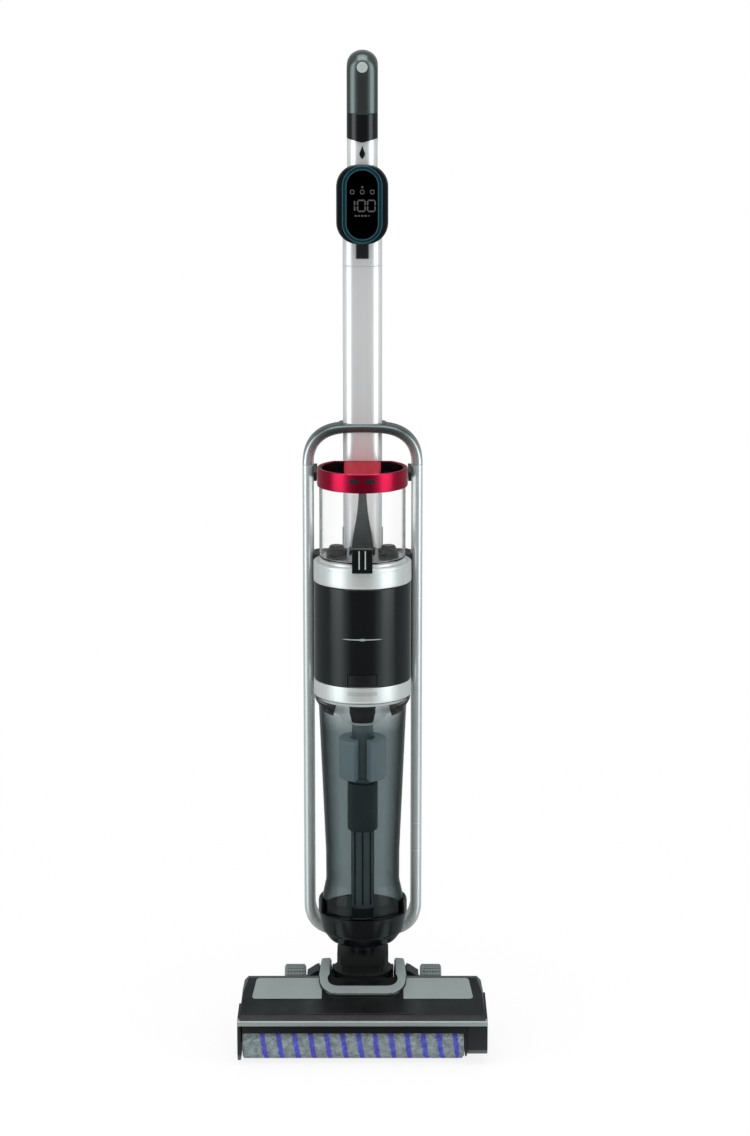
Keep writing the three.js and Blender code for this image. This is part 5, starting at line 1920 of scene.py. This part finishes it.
def hub(label):
    """A dished hub with a raised boss, a rim and six spoke ribs on its outer face."""
    low, high = corners(f"wheel_hub_{label}")
    centre = axle_of(low, high)
    side = 1 if label == "right" else -1
    out = high.x if side > 0 else -low.x
    back = low.x if side > 0 else -high.x
    profile = [
        (4.6, back), (20.4, back), (20.4, out), (17.6, out), (16.6, out - 3.4), (9.6, out - 4.2),
        (8.2, out - 0.8), (7.2, out), (4.6, out)
    ]
    dish = turned([(r, side * x) for r, x in profile], "across", centre, 60)
    ribs = []
    for n in range(6):
        rib = slab(rectangle(7.5, 17.5, -1.0, 1.0, 0.6, 3), out - 4.4, out - 1.4, "plan", 0.4, 2)
        place = Matrix.Translation(centre) @ Matrix.Rotation(math.tau * n / 6, 4, "X")
        lay = Matrix(((0, 0, side, 0), (0, 1, 0, 0), (1, 0, 0, 0), (0, 0, 0, 1)))
        bmesh.ops.transform(rib, matrix=place @ lay, verts=rib.verts)
        bmesh.ops.recalc_face_normals(rib, faces=rib.faces)
        ribs.append(rib)
    return joined(dish, *ribs)


for label in ("left", "right"):
    wheel = f"{label}_wheel"
    stands_for = [f"wheel_tyre_{label}"]
    piece(f"tyre_{label}", tyre(label), TYRE_GREY, wheel, stands_for, 30)
    stands_for = [f"wheel_hub_{label}"]
    piece(f"hub_{label}", hub(label), SATIN_BLACK, wheel, stands_for, 30)

for node, finish in {
    "head_duct": SATIN_BLACK,
    "squeegee": SEAL_RUBBER,
    "drive_belt": SEAL_RUBBER,
    "brush_motor": STEEL,
    "motor_pulley": LIGHT_PLASTIC,
    "roller_core": LIGHT_PLASTIC,
    "pivot_pin_left": STEEL,
    "pivot_pin_right": STEEL,
    "fan": STEEL,
    "suction_motor": STEEL,
    "battery_pack": BATTERY_WRAP,
    "circuit_board": BOARD_GREEN,
    "water_pump": STEEL,
    "charge_port": CONTACT_BRASS,
}.items():
    refinish(node, finish)


# ---- Floor, world and lamps ----


ROOM_IN_FRONT = 0.1
ROOM_AT_SIDES = 1.3
ROOM_BEHIND = 0.3
ROOM_TINT = (0.9, 0.99, 1.0, 1)
WORLD_FILL = 0.74
FLOOR_COLOUR = (0.95, 0.95, 0.95, 1)


def room_strength(tree, forward):
    """How bright a reflection finds the room: dim in front, bright at the sides, softer behind."""
    rising = map_range(tree, forward, -0.9, -0.62, ROOM_IN_FRONT, ROOM_AT_SIDES)
    falling = map_range(tree, forward, -0.48, -0.1, ROOM_AT_SIDES, ROOM_BEHIND)
    return math_node(tree, "MINIMUM", rising, falling)


def seen_directly(tree, path):
    """One for the camera's own rays and for those that reach it through glass."""
    outputs = path.outputs
    return math_node(tree, "MAXIMUM", outputs["Is Camera Ray"], outputs["Is Transmission Ray"])


def mixed_shader(tree, factor, first, second):
    node = tree.nodes.new("ShaderNodeMixShader")
    for source, socket in ((factor, 0), (first, 1), (second, 2)):
        link(tree, source, node.inputs[socket])
    return node.outputs["Shader"]


def floor():
    bm = bmesh.new()
    bmesh.ops.create_grid(bm, x_segments=2, y_segments=2, size=30.0)
    mesh = bpy.data.meshes.new("floor")
    bm.to_mesh(mesh)
    bm.free()
    made = bpy.data.objects.new("floor", mesh)
    bpy.context.scene.collection.objects.link(made)
    finish = bpy.data.materials.new("pale_floor")
    finish.use_nodes = True
    tree = finish.node_tree
    tree.nodes.clear()
    output = tree.nodes.new("ShaderNodeOutputMaterial")
    diffuse = tree.nodes.new("ShaderNodeBsdfDiffuse")
    diffuse.inputs["Color"].default_value = FLOOR_COLOUR
    white = tree.nodes.new("ShaderNodeEmission")
    white.inputs["Strength"].default_value = 1.0
    path = tree.nodes.new("ShaderNodeLightPath")
    coordinate = tree.nodes.new("ShaderNodeTexCoord")
    distance = tree.nodes.new("ShaderNodeVectorMath")
    distance.operation = "LENGTH"
    link(tree, coordinate.outputs["Object"], distance.inputs[0])
    away = map_range(tree, distance.outputs["Value"], 0.2, 1.3, 0.84, 1.0)
    share = math_node(tree, "MULTIPLY", seen_directly(tree, path), away)
    plain = mixed_shader(tree, share, diffuse.outputs["BSDF"], white.outputs["Emission"])
    bearing = tree.nodes.new("ShaderNodeVectorMath")
    bearing.operation = "NORMALIZE"
    link(tree, coordinate.outputs["Object"], bearing.inputs[0])
    parts = tree.nodes.new("ShaderNodeSeparateXYZ")
    link(tree, bearing.outputs["Vector"], parts.inputs["Vector"])
    mirrored = tree.nodes.new("ShaderNodeEmission")
    mirrored.inputs["Color"].default_value = ROOM_TINT
    link(tree, room_strength(tree, parts.outputs["Y"]), mirrored.inputs["Strength"])
    straight = math_node(tree, "SUBTRACT", 1.0, path.outputs["Is Transmission Ray"])
    reflected = math_node(tree, "MULTIPLY", path.outputs["Is Glossy Ray"], straight)
    whole = mixed_shader(tree, reflected, plain, mirrored.outputs["Emission"])
    link(tree, whole, output.inputs["Surface"])
    mesh.materials.append(finish)


floor()


def studio_world():
    """White behind the object; for reflections a dimmer front and bright sides."""
    world = bpy.data.worlds.new("studio")
    bpy.context.scene.world = world
    world.use_nodes = True
    tree = world.node_tree
    tree.nodes.clear()
    output = tree.nodes.new("ShaderNodeOutputWorld")
    path = tree.nodes.new("ShaderNodeLightPath")
    coordinate = tree.nodes.new("ShaderNodeTexCoord")
    parts = tree.nodes.new("ShaderNodeSeparateXYZ")
    link(tree, coordinate.outputs["Generated"], parts.inputs["Vector"])
    strength = room_strength(tree, parts.outputs["Y"])
    room = tree.nodes.new("ShaderNodeBackground")
    link(tree, strength, room.inputs["Strength"])
    fill = tree.nodes.new("ShaderNodeBackground")
    fill.inputs["Strength"].default_value = WORLD_FILL
    white = tree.nodes.new("ShaderNodeBackground")
    for node in (fill, white):
        node.inputs["Color"].default_value = (1, 1, 1, 1)
    room.inputs["Color"].default_value = ROOM_TINT
    glossy = path.outputs["Is Glossy Ray"]
    around = mixed_shader(tree, glossy, fill.outputs["Background"], room.outputs["Background"])
    whole = mixed_shader(tree, seen_directly(tree, path), around, white.outputs["Background"])
    link(tree, whole, output.inputs["Surface"])


studio_world()


def soft_box(name, place, aim, wide, tall, power):
    data = bpy.data.lights.new(name, "AREA")
    data.shape = "RECTANGLE"
    data.size = wide
    data.size_y = tall
    data.energy = power
    lamp = bpy.data.objects.new(name, data)
    lamp.location = place
    lamp.rotation_euler = (Vector(aim) - Vector(place)).to_track_quat("-Z", "Y").to_euler()
    bpy.context.scene.collection.objects.link(lamp)


soft_box("panel_left", (-2.0, -1.0, 0.9), (0, 0, 0.6), 1.4, 2.4, 12.0)
soft_box("panel_right", (2.0, -1.0, 0.9), (0, 0, 0.6), 1.4, 2.4, 12.0)
soft_box("overhead", (0.0, -0.6, 3.0), (0, 0, 0.4), 2.4, 2.0, 30.0)
